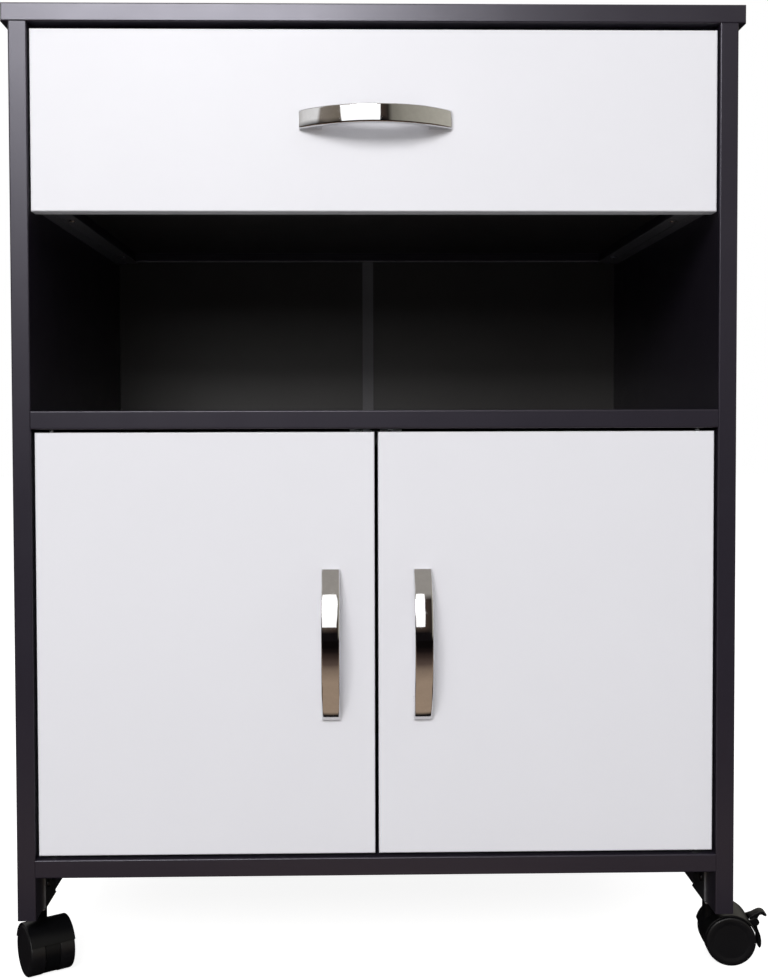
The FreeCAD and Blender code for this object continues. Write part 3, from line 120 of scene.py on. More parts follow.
def melamineMaterial(name, tone, roughness, rawRear=False, paintedUndersideHighlight=False):
    look = melamineLook
    material, add = newMaterial(name)
    place = add("TexCoord", out="Object")
    middle = np.array(linearColour(tone["hex"])[:3])
    light = (*np.minimum(middle * tone["spread"], 1.0), 1.0)
    dark = (*(middle / tone["spread"]), 1.0)
    clouds = add("TexNoise", {"Vector": place, "Scale": perMetre(look["cloud"]), "Detail": 3.0})
    specks = add("TexNoise", {"Vector": place, "Scale": perMetre(look["speck"])})
    specks = add("MapRange", {"Value": specks, "From Min": look["speckRange"][0],
                              "From Max": look["speckRange"][1], "To Max": look["speckShare"]})
    colour = add("Mix", {0: clouds, 6: dark, 7: light}, 2, data_type="RGBA")
    colour = add("Mix", {0: specks, 6: colour, 7: light}, 2, data_type="RGBA")
    sheen = add("TexNoise", {"Vector": place, "Scale": perMetre(look["sheen"])})
    sheen = add("MapRange", {"Value": sheen, "To Min": roughness - look["sheenSpread"],
                             "To Max": roughness + look["sheenSpread"]})
    if rawRear:
        # rear edges carry no edging band, so they show the chips, two to three millimetres long
        behind = add("SeparateXYZ", {"Vector": add("TexCoord", out="Normal")}, "Y")
        behind = add("Math", {0: behind, 1: look["square"]}, operation="GREATER_THAN")
        chips = add("TexVoronoi", {"Vector": place, "Scale": perMetre(look["chip"])}, "Color")
        chips = add("ValToRGB", {"Fac": add("SeparateColor", {"Color": chips})}, stops=look["chipTones"])
        colour = add("Mix", {0: behind, 6: colour, 7: chips}, 2, data_type="RGBA")
        sheen = add("Mix", {0: behind, 2: sheen, 3: look["chipRoughness"]})
    if paintedUndersideHighlight:
        # painted highlight: the drawer box's downward faces are painted paler, so that its lower edges show a
        # light line
        under = add("SeparateXYZ", {"Vector": add("TexCoord", out="Normal")}, "Z")
        under = add("Math", {0: under, 1: -look["square"]}, operation="LESS_THAN")
        colour = add("Mix", {0: under, 6: colour, 7: look["foil"]}, 2, data_type="RGBA")
    pearl = add("TexNoise", {"Vector": place, "Scale": perMetre(look["pearl"]), "Detail": 1.0})
    relief = add("Bump", {"Height": pearl, "Distance": look["pearlDepth"] * mm, "Strength": 0.6})
    waves = add("TexNoise", {"Vector": place, "Scale": perMetre(look["wave"]), "Detail": 1.0})
    relief = add("Bump", {"Height": waves, "Distance": look["waveDepth"] * mm, "Strength": 0.5,
                          "Normal": relief})
    return finishMaterial(material, add, {
        "Base Color": colour, "Roughness": sheen, "Normal": relief,
        "Specular IOR Level": tone["specular"], "Specular Tint": tone["gloss"]})


# Hardboard is pressed wood fibre. The eye gets flat black lacquer towards the room, and behind it
# brown fibres under the mark of the wire screen that it was pressed on. A wave node's bands lie
# 0.314 / scale apart, so its 14 mm give wires 4.4 mm apart.
hardboardLook = {
    "fibre": 1.6, "fibreLength": 3.0, "fibreDepth": 0.03, "fibreRoughness": 0.8,
    "fibreTones": [(0.25, "4f3722"), (0.55, "6d4e31"), (0.8, "8a6a46")],
    "cloud": 70, "stain": "503823", "stainShare": 0.35,
    "lacquer": ("33302f", "3b3837"), "lacquerRoughness": 0.42, "screen": 14, "screenDepth": 0.08}


def hardboardMaterial(name):
    look = hardboardLook
    material, add = newMaterial(name)
    place = add("TexCoord", out="Object")
    behind = add("SeparateXYZ", {"Vector": add("TexCoord", out="Normal")}, "Y")
    behind = add("Math", {0: behind, 1: 0.5}, operation="GREATER_THAN")
    fibres = add("Mapping", {"Vector": place, "Scale": (1, 1, 1 / look["fibreLength"])})
    fibres = add("TexNoise", {"Vector": fibres, "Scale": perMetre(look["fibre"]), "Detail": 4.0,
                              "Roughness": 0.7})
    clouds = add("TexNoise", {"Vector": place, "Scale": perMetre(look["cloud"]), "Detail": 3.0})
    brown = add("ValToRGB", {"Fac": fibres}, stops=look["fibreTones"])
    stain = add("MapRange", {"Value": clouds, "To Max": look["stainShare"]})
    brown = add("Mix", {0: stain, 6: brown, 7: look["stain"]}, 2, data_type="RGBA")
    black = add("Mix", {0: clouds, 6: look["lacquer"][0], 7: look["lacquer"][1]}, 2, data_type="RGBA")
    colour = add("Mix", {0: behind, 6: black, 7: brown}, 2, data_type="RGBA")
    wires = [add("TexWave", {"Vector": place, "Scale": perMetre(look["screen"]), "Distortion": 0.4},
                 "Fac", bands_direction=axis) for axis in "XZ"]
    screen = add("Math", {0: wires[0], 1: wires[1]}, operation="MULTIPLY")
    screen = add("Math", {0: screen, 1: behind}, operation="MULTIPLY")
    relief = add("Bump", {"Height": screen, "Distance": look["screenDepth"] * mm, "Strength": 0.6})
    relief = add("Bump", {"Height": fibres, "Distance": look["fibreDepth"] * mm, "Strength": 0.5,
                          "Normal": relief})
    sheen = add("Mix", {0: behind, 2: look["lacquerRoughness"], 3: look["fibreRoughness"]})
    return finishMaterial(material, add, {"Base Color": colour, "Roughness": sheen, "Normal": relief})


# Moulded plastic such as ABS, nylon or polypropylene comes out of a spark-eroded mould. The eye
# gets a soft gloss with faint handling marks. The mould's grain, about 0.15 mm, is drawn at 0.4 to
# 0.7 mm so that it shows. The magnets' sintered ferrite is dressed the same way, duller.
plasticLook = {"cloud": 14, "mark": 3, "markGloss": 0.06, "markDull": 0.10}


def plasticMaterial(name, tones, roughness, grain, depth, specular=0.5):
    look = plasticLook
    material, add = newMaterial(name)
    place = add("TexCoord", out="Object")
    clouds = add("TexNoise", {"Vector": place, "Scale": perMetre(look["cloud"]), "Detail": 3.0})
    colour = add("Mix", {0: clouds, 6: tones[0], 7: tones[1]}, 2, data_type="RGBA")
    marks = add("TexNoise", {"Vector": place, "Scale": perMetre(look["mark"]), "Detail": 4.0,
                             "Roughness": 0.65})
    sheen = add("MapRange", {"Value": marks, "To Min": roughness - look["markGloss"],
                             "To Max": roughness + look["markDull"]})
    moulded = add("TexNoise", {"Vector": place, "Scale": perMetre(grain), "Detail": 1.0})
    relief = add("Bump", {"Height": moulded, "Distance": depth * mm, "Strength": 0.7})
    return finishMaterial(material, add, {"Base Color": colour, "Roughness": sheen, "Normal": relief,
                                          "Specular IOR Level": specular})


# Chrome plate over a polished zinc casting. The eye gets a clean mirror with a slow orange-peel
# wave and a little haze where hands rub it.
chromeLook = {"haze": 5, "hazeRange": (0.45, 0.8), "roughness": (0.03, 0.10),
              "tones": ("d6d6d8", "e6e6e8"), "peel": 7, "peelDepth": 0.03}


def chromeMaterial(name):
    look = chromeLook
    material, add = newMaterial(name)
    place = add("TexCoord", out="Object")
    haze = add("TexNoise", {"Vector": place, "Scale": perMetre(look["haze"]), "Detail": 4.0,
                            "Roughness": 0.7})
    colour = add("Mix", {0: haze, 6: look["tones"][0], 7: look["tones"][1]}, 2, data_type="RGBA")
    sheen = add("MapRange", {
        "Value": haze, "From Min": look["hazeRange"][0], "From Max": look["hazeRange"][1],
        "To Min": look["roughness"][0], "To Max": look["roughness"][1]})
    peel = add("TexNoise", {"Vector": place, "Scale": perMetre(look["peel"]), "Detail": 1.0})
    relief = add("Bump", {"Height": peel, "Distance": look["peelDepth"] * mm, "Strength": 0.5})
    return finishMaterial(material, add, {"Base Color": colour, "Roughness": sheen, "Normal": relief,
                                          "Metallic": 1.0})


# Zinc plate on drawn screws and cast cams. The eye gets a dull metal whose crystals catch the
# light one by one, with fine scratches. Both are finer than 0.2 mm on the real thing, and drawn at
# 1.6 and 0.5 mm so that they show.
steelLook = {"crystal": 1.6, "crystalGloss": 0.06, "crystalDull": 0.08,
             "scratch": 0.5, "scratchLength": 12, "scratchDepth": 0.008}


def steelMaterial(name, tones, roughness):
    look = steelLook
    material, add = newMaterial(name)
    place = add("TexCoord", out="Object")
    crystals = add("TexVoronoi", {"Vector": place, "Scale": perMetre(look["crystal"])}, "Color")
    crystals = add("SeparateColor", {"Color": crystals})
    colour = add("Mix", {0: crystals, 6: tones[0], 7: tones[1]}, 2, data_type="RGBA")
    sheen = add("MapRange", {"Value": crystals, "To Min": roughness - look["crystalGloss"],
                             "To Max": roughness + look["crystalDull"]})
    scratches = add("Mapping", {"Vector": place, "Scale": (1, 1 / look["scratchLength"], 1)})
    scratches = add("TexNoise", {"Vector": scratches, "Scale": perMetre(look["scratch"]),
                                 "Detail": 3.0, "Roughness": 0.7})
    relief = add("Bump", {"Height": scratches, "Distance": look["scratchDepth"] * mm, "Strength": 0.5})
    return finishMaterial(material, add, {"Base Color": colour, "Roughness": sheen, "Normal": relief,
                                          "Metallic": 1.0})


# Black-passivated zinc on sheared steel plate. The eye gets dull dark faces, and bright edges at
# the front and rear where the shear cut through the plate. The rolled grain and the shear's marks,
# finer than 0.2 mm, are drawn at 0.6 and 0.4 mm so that they show.
bracketLook = {"cloud": 6, "faces": ("1b1b1d", "29292c"), "edges": ("9a9ca0", "c4c6ca"),
               "roughness": (0.42, 0.54), "shear": 0.4, "shearLength": 8, "grain": 0.6,
               "grainDepth": 0.008, "square": 0.9}


def bracketMaterial(name):
    look = bracketLook
    material, add = newMaterial(name)
    place = add("TexCoord", out="Object")
    clouds = add("TexNoise", {"Vector": place, "Scale": perMetre(look["cloud"]), "Detail": 3.0})
    dull = add("Mix", {0: clouds, 6: look["faces"][0], 7: look["faces"][1]}, 2, data_type="RGBA")
    sheared = add("Mapping", {"Vector": place, "Scale": (1, 1, 1 / look["shearLength"])})
    sheared = add("TexNoise", {"Vector": sheared, "Scale": perMetre(look["shear"])})
    bright = add("Mix", {0: sheared, 6: look["edges"][0], 7: look["edges"][1]}, 2, data_type="RGBA")
    cut = add("SeparateXYZ", {"Vector": add("TexCoord", out="Normal")}, "Y")
    cut = add("Math", {0: cut}, operation="ABSOLUTE")
    cut = add("Math", {0: cut, 1: look["square"]}, operation="GREATER_THAN")
    colour = add("Mix", {0: cut, 6: dull, 7: bright}, 2, data_type="RGBA")
    sheen = add("MapRange", {"Value": clouds, "To Min": look["roughness"][0],
                             "To Max": look["roughness"][1]})
    grain = add("TexNoise", {"Vector": place, "Scale": perMetre(look["grain"])})
    relief = add("Bump", {"Height": grain, "Distance": look["grainDepth"] * mm, "Strength": 0.5})
    return finishMaterial(material, add, {"Base Color": colour, "Roughness": sheen, "Normal": relief,
                                          "Metallic": cut})


# Baked enamel on rolled steel. The eye gets a soft orange peel, with a faint grain of the drawn
# steel under it, which is drawn at 0.6 mm, coarser than it is, so that it shows.
enamelLook = {"cloud": 25, "sheen": 6, "roughness": (0.30, 0.42), "peel": 1.4, "peelDepth": 0.015,
              "grain": 0.6, "grainLength": 14, "grainDepth": 0.006}


def enamelMaterial(name, tones):
    look = enamelLook
    material, add = newMaterial(name)
    place = add("TexCoord", out="Object")
    clouds = add("TexNoise", {"Vector": place, "Scale": perMetre(look["cloud"]), "Detail": 3.0})
    colour = add("Mix", {0: clouds, 6: tones[0], 7: tones[1]}, 2, data_type="RGBA")
    sheen = add("TexNoise", {"Vector": place, "Scale": perMetre(look["sheen"]), "Detail": 3.0})
    sheen = add("MapRange", {"Value": sheen, "To Min": look["roughness"][0],
                             "To Max": look["roughness"][1]})
    peel = add("TexNoise", {"Vector": place, "Scale": perMetre(look["peel"])})
    relief = add("Bump", {"Height": peel, "Distance": look["peelDepth"] * mm, "Strength": 0.6})
    grain = add("Mapping", {"Vector": place, "Scale": (1, 1 / look["grainLength"], 1)})
    grain = add("TexNoise", {"Vector": grain, "Scale": perMetre(look["grain"])})
    relief = add("Bump", {"Height": grain, "Distance": look["grainDepth"] * mm, "Strength": 0.5,
                          "Normal": relief})
    return finishMaterial(material, add, {"Base Color": colour, "Roughness": sheen, "Normal": relief})


# Turned beech. The eye gets a dry pale wood with short dark rays along the dowel.
beechLook = {"ray": 0.8, "rayLength": 14, "rayDepth": 0.03, "roughness": 0.7,
             "tones": [(0.3, "a97f52"), (0.7, "cda677")]}


def beechMaterial(name):
    look = beechLook
    material, add = newMaterial(name)
    rays = add("Mapping", {"Vector": add("TexCoord", out="Object"), "Scale": (1 / look["rayLength"], 1, 1)})
    rays = add("TexNoise", {"Vector": rays, "Scale": perMetre(look["ray"]), "Detail": 3.0})
    colour = add("ValToRGB", {"Fac": rays}, stops=look["tones"])
    relief = add("Bump", {"Height": rays, "Distance": look["rayDepth"] * mm, "Strength": 0.5})
    return finishMaterial(material, add, {"Base Color": colour, "Normal": relief,
                                          "Roughness": look["roughness"]})


# plastics have two tones, a roughness, and the size and depth of their grain
materials = {
    "charcoal": melamineMaterial("melamineCharcoal", charcoalTone, 0.32, rawRear=True),
    "charcoalTop": melamineMaterial("melamineCharcoalTop", topTone, 0.30, rawRear=True),
    # the drawer box's material carries a painted highlight on its downward faces
    "charcoalBox": melamineMaterial("melamineCharcoalBox", charcoalTone, 0.38, paintedUndersideHighlight=True),
    "white": melamineMaterial("melamineWhite", whiteTone, 0.42),
    "hardboard": hardboardMaterial("hardboardLacquered"),
    "strip": plasticMaterial("absStripGrey", ("615f63", "6d6b6f"), 0.42, 0.5, 0.01),
    "hood": plasticMaterial("nylonHoodBlack", ("080809", "0d0d0f"), 0.36, 0.6, 0.012, 0.2),
    "wheel": plasticMaterial("polypropyleneWheelBlack", ("0e0d0f", "151416"), 0.34, 0.7, 0.02, 0.4),
    "chrome": chromeMaterial("chromePlate"),
    "zinc": steelMaterial("zincPlate", ("b9bdc2", "d3d6da"), 0.30),
    "runner": enamelMaterial("enamelRunnerGrey", ("66656a", "727176")),
    "bracket": bracketMaterial("blackZincBracket"),
    "darkScrew": steelMaterial("blackZincScrew", ("3a3a3d", "4a4a4d"), 0.38),
    "socket": plasticMaterial("nylonSocketBlack", ("141416", "1c1c1f"), 0.45, 0.5, 0.01),
    "nylon": plasticMaterial("nylonNatural", ("dcdbd3", "e8e7e0"), 0.45, 0.6, 0.01),
    "beech": beechMaterial("beechDowel"),
    "ferrite": plasticMaterial("ferriteMagnet", ("1d1d1f", "2b2b2e"), 0.6, 0.4, 0.03),
}
print("stage:", len(materials), "materials made")

# every CAD node wears the material of its slot, but the boards named after it have their own
materialOfSlot = {
    "melamine_charcoal": "charcoal", "melamine_white": "white", "hardboard_black": "hardboard",
    "black_plastic": "socket", "grey_plastic": "strip", "caster_nylon": "hood",
    "wheel_plastic": "wheel", "black_zinc": "bracket",
    "chrome_plate": "chrome", "zinc_steel": "zinc", "runner_steel": "runner",
    "nylon_white": "nylon", "beech": "beech", "magnet_ferrite": "ferrite",
}
ownMaterial = {"top_board": "charcoalTop", "drawer_side_left": "charcoalBox",
               "drawer_side_right": "charcoalBox", "drawer_back": "charcoalBox"}
slotOfNode = {entry["node"]: entry["material_slot"] for entry in frame["record"]["subparts"]}
for node, thing in frame["nodes"].items():
    chosen = materials[ownMaterial.get(node, materialOfSlot[slotOfNode[node]])]
    thing.data.materials.clear()
    thing.data.materials.append(chosen)
print("stage: carried-over nodes dressed")


# quads of a grid whose columns run round a loop: point (i, j) is number start + i * columns + j
def gridFaces(rows, columns, start=0):
    i, j = np.meshgrid(np.arange(rows - 1), np.arange(columns), indexing="ij")
    k = (j + 1) % columns
    quads = np.stack([i * columns + j, i * columns + k, (i + 1) * columns + k, (i + 1) * columns + j], -1)
    return (quads.reshape(-1, 4) + start).tolist()


# Corner points with arcs of the given radii set into them, in the same order. With half the
# corner's angle, an arc touches the sides at radius / tan(half) from the corner, and its centre is
# at radius / sin(half) along the bisector. The arc is its first spoke turned by t:
# centre + spoke cos t + (spoke turned by a right angle) sin t.
def roundedProfile(corners, radii, steps):
    corners = np.asarray(corners, float)
    path = []
    for index, (corner, radius) in enumerate(zip(corners, radii)):
        if radius <= 0:
            path.append(corner[None])
            continue
        before = corners[index - 1] - corner
        after = corners[(index + 1) % len(corners)] - corner
        before, after = before / np.linalg.norm(before), after / np.linalg.norm(after)
        half = math.acos(np.clip(before @ after, -1, 1)) / 2
        reach = radius / math.tan(half)
        centre = corner + (before + after) / np.linalg.norm(before + after) * radius / math.sin(half)
        first, last = corner + before * reach - centre, corner + after * reach - centre
        turn = math.atan2(first[0] * last[1] - first[1] * last[0], first @ last)
        t = np.linspace(0, turn, steps + 1)[:, None]
        path.append(centre + first * np.cos(t) + np.array([-first[1], first[0]]) * np.sin(t))
    return np.concatenate(path)


# a ring of points round the origin, as its cosines and sines
def circle(sides):
    angle = np.linspace(0, 2 * np.pi, sides, endpoint=False)
    return np.cos(angle), np.sin(angle)


bodyOfNode = {node: body for body, nodes in frame["record"]["behaviour"]["bodies"].items()
              for node in nodes}
weldReach = 1e-7  # metres


# One visual piece that stands in for a CAD node, on the node's body, in the material given. Its
# parts are pairs of points in metres and faces. It is smooth but for edges that fold by more than
# sharpAngle.
def addPiece(node, ending, parts, material, sharpAngle):
    name = node + ending
    faces, base = [], 0
    for points, partFaces in parts:
        faces += [[base + v for v in face] for face in partFaces]
        base += len(points)
    mesh = bpy.data.meshes.new(name)
    mesh.from_pydata(np.concatenate([points for points, _ in parts]), [], faces)
    shape = bmesh.new()
    shape.from_mesh(mesh)
    bmesh.ops.remove_doubles(shape, verts=shape.verts, dist=weldReach)
    bmesh.ops.recalc_face_normals(shape, faces=shape.faces)
    shape.to_mesh(mesh)
    shape.free()
    mesh.shade_smooth()
    mesh.set_sharp_from_angle(angle=math.radians(sharpAngle))
    mesh.materials.append(materials[material])
    piece = bpy.data.objects.new(name, mesh)
    bpy.context.scene.collection.objects.link(piece)
    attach(piece, bodyOfNode[node])
    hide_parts(node)


# points moved by a 4 by 4 matrix
def placed(points, matrix):
    matrix = np.array(matrix)
    return points @ matrix[:3, :3].T + matrix[:3, 3]


# The corner points of each separate solid of a CAD node: every point takes the lowest label of
# the points that an edge joins it to, until nothing changes.
def solidsOf(node):
    mesh = frame["nodes"][node].data
    points = np.empty((len(mesh.vertices), 3))
    edges = np.empty((len(mesh.edges), 2), int)
    mesh.vertices.foreach_get("co", points.ravel())
    mesh.edges.foreach_get("vertices", edges.ravel())
    samePlace = 1e-6  # metres
    _, spots = np.unique(np.round(points / samePlace).astype(int), axis=0, return_inverse=True)
    spots = spots.reshape(-1)
    label = np.arange(spots.max() + 1)
    pairs = spots[edges]
    while True:
        lowest = label.copy()
        np.minimum.at(lowest, pairs[:, 0], label[pairs[:, 1]])
        np.minimum.at(lowest, pairs[:, 1], label[pairs[:, 0]])
        if (lowest == label).all():
            break
        label = lowest
    return [points[label[spots] == value] for value in np.unique(label)]


# A matrix from a fastener's own frame, head at the origin and shank up Z, to its place, with its
# length and its head's radius. The head is at the end whose points reach farthest from the axis.
def fastenerPlace(points):
    rimShare = 0.97  # points this near to the greatest reach are on the head's rim
    low, high = points.min(0), points.max(0)
    axis = int(np.argmax(high - low))
    middle = (low + high) / 2
    across = [i for i in range(3) if i != axis]
    spread = np.abs(points[:, across] - middle[across]).max(1)
    headEnd = points[spread > spread.max() * rimShare][:, axis].mean()
    direction = np.zeros(3)
    direction[axis] = 1.0 if headEnd < middle[axis] else -1.0
    start = middle.copy()
    start[axis] = low[axis] if direction[axis] > 0 else high[axis]
    z = Vector(direction)
    x = Vector((0, 0, 1)) if axis != 2 else Vector((1, 0, 0))
    turn = Matrix((x, z.cross(x), z)).transposed().to_4x4()
    return Matrix.Translation(Vector(start)) @ turn, high[axis] - low[axis], spread.max()


# a disc seen from outside: rings about the centre, with z = -heightAt(x, y)
def headDisc(radius, heightAt, rings, segments):
    r = np.linspace(0, 1, rings)[1:] * radius
    cosine, sine = circle(segments)
    x, y = r[:, None] * cosine, r[:, None] * sine
    points = np.stack([x, y, -heightAt(x, y)], -1).reshape(-1, 3)
    faces = gridFaces(rings - 1, segments)
    faces += [[j, (j + 1) % segments, len(points)] for j in range(segments)]
    centre = np.array([[0, 0, -heightAt(np.zeros(1), np.zeros(1))[0]]])
    return np.concatenate([points, centre]), faces


# Depth of a cross-shaped driver recess: depth * max(inside(x, y), inside(y, x)), where inside is 1
# in an arm and fades over the slope across it, and over one and a half slopes at its end.
def crossRecess(x, y, arm, width, depth, slope):
    def inside(a, b):
        across = np.clip((width - np.abs(a)) / slope, 0, 1)
        along = np.clip((arm - np.abs(b)) / (slope * 1.5), 0, 1)
        return across * along
    return depth * np.maximum(inside(x, y), inside(y, x))


handleLook = {"footReach": 18.5, "end": 4.0, "thick": 5.0, "crook": 6.0, "edge": 1.5, "edgeShare": 0.45,
              "innerEdge": 0.7, "innerShare": 0.3, "endInset": 0.35, "sharp": 40, "edgeSteps": 5,
              "stations": 75, "soleStations": 8, "wallStations": 10, "crookStations": 10}


# points on a circle's arc: centre + radius (cos t, sin t)
def arcPoints(centre, radius, start, end, count):
    t = np.linspace(start, end, count)
    return np.array(centre) + radius * np.stack([np.cos(t), np.sin(t)], 1)


# A cast bow between two feet. Its section is a rounded rectangle, carried from an inner path to an
# outer arc. The inner path runs under the foot, up its wall, round the crook and along an arc.
def bowHandle(node):
    look = handleLook
    low, high = (np.array(v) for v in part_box(node))
    extent = (high - low) / mm
    lengthAxis = int(np.argmax(extent))
    length, width, reach = extent[lengthAxis], extent[2 - lengthAxis], extent[1]
    half = length / 2
    rise = reach - look["end"]
    # circle through (+-half, end) and (0, reach): radius = (half^2 + rise^2) / (2 rise)
    outerRadius = (half ** 2 + rise ** 2) / (2 * rise)
    drop = outerRadius - reach
    innerRadius = outerRadius - look["thick"]
    foot = half - look["footReach"]
    crook = look["crook"]
    # the crook's circle touches the foot's inner wall and the inner arc from inside
    centreX = foot - crook
    centreY = math.sqrt((innerRadius - crook) ** 2 - centreX ** 2) - drop
    touch = math.atan2(centreY + drop, centreX)
    inner = np.concatenate([
        np.linspace((half, 0), (foot, 0), look["soleStations"])[:-1],
        np.linspace((foot, 0), (foot, centreY), look["wallStations"]),
        arcPoints((centreX, centreY), crook, 0, touch, look["crookStations"])[1:],
        arcPoints((0, -drop), innerRadius, touch, math.pi / 2, look["stations"])[1:]])
    # each inner point has its partner as far along the outer arc as it is along its own path
    walked = np.concatenate([[0], np.cumsum(np.linalg.norm(np.diff(inner, axis=0), axis=1))])
    share = walked / walked[-1]
    radial = math.acos(half / outerRadius) + (math.pi / 2 - math.acos(half / outerRadius)) * share
    outer = np.stack([outerRadius * np.cos(radial), outerRadius * np.sin(radial) - drop], 1)
    inner = np.concatenate([inner, inner[-2::-1] * [-1, 1]])
    outer = np.concatenate([outer, outer[-2::-1] * [-1, 1]])
    gap = np.linalg.norm(outer - inner, axis=1)[:, None, None]
    # The section's corners are inner, outer, outer and inner, from one side to the other. Each is a
    # quarter turn about its own centre: (across, aside) = centre + radius (cos t, sin t).
    innerEdge = np.minimum(look["innerEdge"], gap * look["innerShare"])
    edge = np.minimum(look["edge"], gap * look["edgeShare"])
    radius = np.concatenate([innerEdge, edge, edge, innerEdge], 1)
    outwards, upwards = np.array([[-1, 1, 1, -1], [-1, -1, 1, 1]])[:, None, :, None]
    t = np.radians([[180], [270], [0], [90]]) + np.linspace(0, math.pi / 2, look["edgeSteps"] + 1)
    across = gap * (1 + outwards) / 2 - radius * outwards + radius * np.cos(t)
    aside = (width / 2 - radius) * upwards + radius * np.sin(t)
    across, aside, gap = across.reshape(len(gap), -1), aside.reshape(len(gap), -1), gap[:, 0]
    # the two end sections shrink about their middles by the inset
    ends = [0, -1]
    across[ends] = (across - gap / 2)[ends] * (1 - look["endInset"] / gap[ends]) + gap[ends] / 2
    aside[ends] *= 1 - look["endInset"] / width
    flat = inner[:, None] + across[:, :, None] * ((outer - inner) / gap)[:, None]
    rings = np.concatenate([flat, aside[:, :, None]], 2)
    rows, columns, _ = rings.shape
    caps = [list(range(columns)), list(range((rows - 1) * columns, rows * columns))]
    # local axes: x along the length, y out from the face, z across the width
    place = np.zeros((3, 3))
    place[0, lengthAxis] = 1.0
    place[1, 1] = -1.0
    place[2, 2 - lengthAxis] = 1.0
    centre = (low + high) / 2
    points = rings.reshape(-1, 3) * mm @ place + np.array([centre[0], high[1], centre[2]])
    addPiece(node, "_bow", [(points, gridFaces(rows, columns) + caps)], "chrome", look["sharp"])


for node in ("drawer_handle", "door_handle_left", "door_handle_right"):
    bowHandle(node)
print("stage: handles")


# the recess is drawn for a head of nominalHead radius and grows with the head, and the ridge is
# 2 / flank of the pitch wide
screwLook = {"arm": 1.9, "slot": 0.55, "depth": 1.3, "slope": 0.35, "nominalHead": 3.5, "crown": 0.45,
             "crownReach": 0.9, "rim": 0.35, "rimFrom": 0.8, "pitch": 1.4, "ridge": 0.28, "flank": 6,
             "point": 2.0, "threadStep": 0.3, "threadedTip": 0.25, "plainTip": 0.9,
             "rings": 22, "sides": 48, "sharp": 30}


# A pan head with a cross recess over a shank. A threaded shank carries a spiral ridge:
# radius = core + ridge * triangle(height / pitch - angle / turn).
def panScrew(points, headLength, shankRadius, threaded):
    place, length, headRadius = fastenerPlace(points)
    length, headRadius = length / mm, headRadius / mm
    look = screwLook
    sides = look["sides"]
    scale = headRadius / look["nominalHead"]

    # the head falls away from its centre as a sphere does, and once more near its rim
    def face(x, y):
        r = np.hypot(x, y) / headRadius
        fall = 1 - np.sqrt(np.clip(1 - (r * look["crownReach"]) ** 2, 0, 1))
        turnedRim = np.clip((r - look["rimFrom"]) / (1 - look["rimFrom"]), 0, 1) ** 2
        recess = crossRecess(x, y, look["arm"] * scale, look["slot"] * scale, look["depth"], look["slope"])
        return -(headLength * look["crown"] * fall + headLength * look["rim"] * turnedRim + recess)

    top = headDisc(headRadius, face, look["rings"], sides)
    rim = -face(np.array([headRadius]), np.zeros(1))[0]
    steps = int((length - headLength) / look["threadStep"]) if threaded else 2
    heights = np.linspace(headLength, length - look["point"], steps)
    radius = np.full((steps, sides), float(shankRadius))
    if threaded:
        turns = np.linspace(0, 1, sides, endpoint=False)
        phase = heights[:, None] / look["pitch"] - turns
        radius += look["ridge"] * (np.clip(1 - np.abs((phase % 1) - 0.5) * look["flank"], 0, 1) - 1)
    tip = shankRadius * (look["threadedTip"] if threaded else look["plainTip"])
    radius = np.vstack([np.full((2, sides), headRadius), radius, np.full((1, sides), tip)])
    heights = np.concatenate([[rim, headLength], heights, [length]])
    cosine, sine = circle(sides)
    shank = np.stack([radius * cosine, radius * sine, np.repeat(heights[:, None], sides, 1)], -1)
    end = [list(range((len(heights) - 1) * sides, len(heights) * sides))]
    shank = (shank.reshape(-1, 3), gridFaces(len(heights), sides) + end)
    return [(placed(p * mm, place), faces) for p, faces in (top, shank)]


# each node of screws: the height of a head, the radius of a shank and the plating
screwNodes = {"hardware_screws": (2.0, 1.75, "darkScrew"), "drawer_box_screws": (2.0, 1.75, "zinc"),
              "drawer_handle_screws": (2.4, 2.0, "zinc"), "door_handle_screws_left": (2.4, 2.0, "zinc"),
              "door_handle_screws_right": (2.4, 2.0, "zinc")}
for node, (headLength, shankRadius, plating) in screwNodes.items():
    parts = []
    for points in solidsOf(node):
        parts += panScrew(points, headLength, shankRadius, "handle" not in node)
    addPiece(node, "_driven", parts, plating, screwLook["sharp"])
print("stage: screws")

# the pointer is a groove between two radii, on the side where x is positive
camLook = {"arm": 3.0, "slot": 0.75, "depth": 2.0, "slope": 0.3, "dish": 5.2, "dishDepth": 0.25,
           "dishSlope": 0.4, "pointer": (4.2, 6.4), "pointerHalf": 0.5, "pointerDepth": 0.5,
           "pointerSlope": 0.25, "pointerFade": 0.3, "rim": 0.6, "rings": 40, "sides": 64, "sharp": 30}


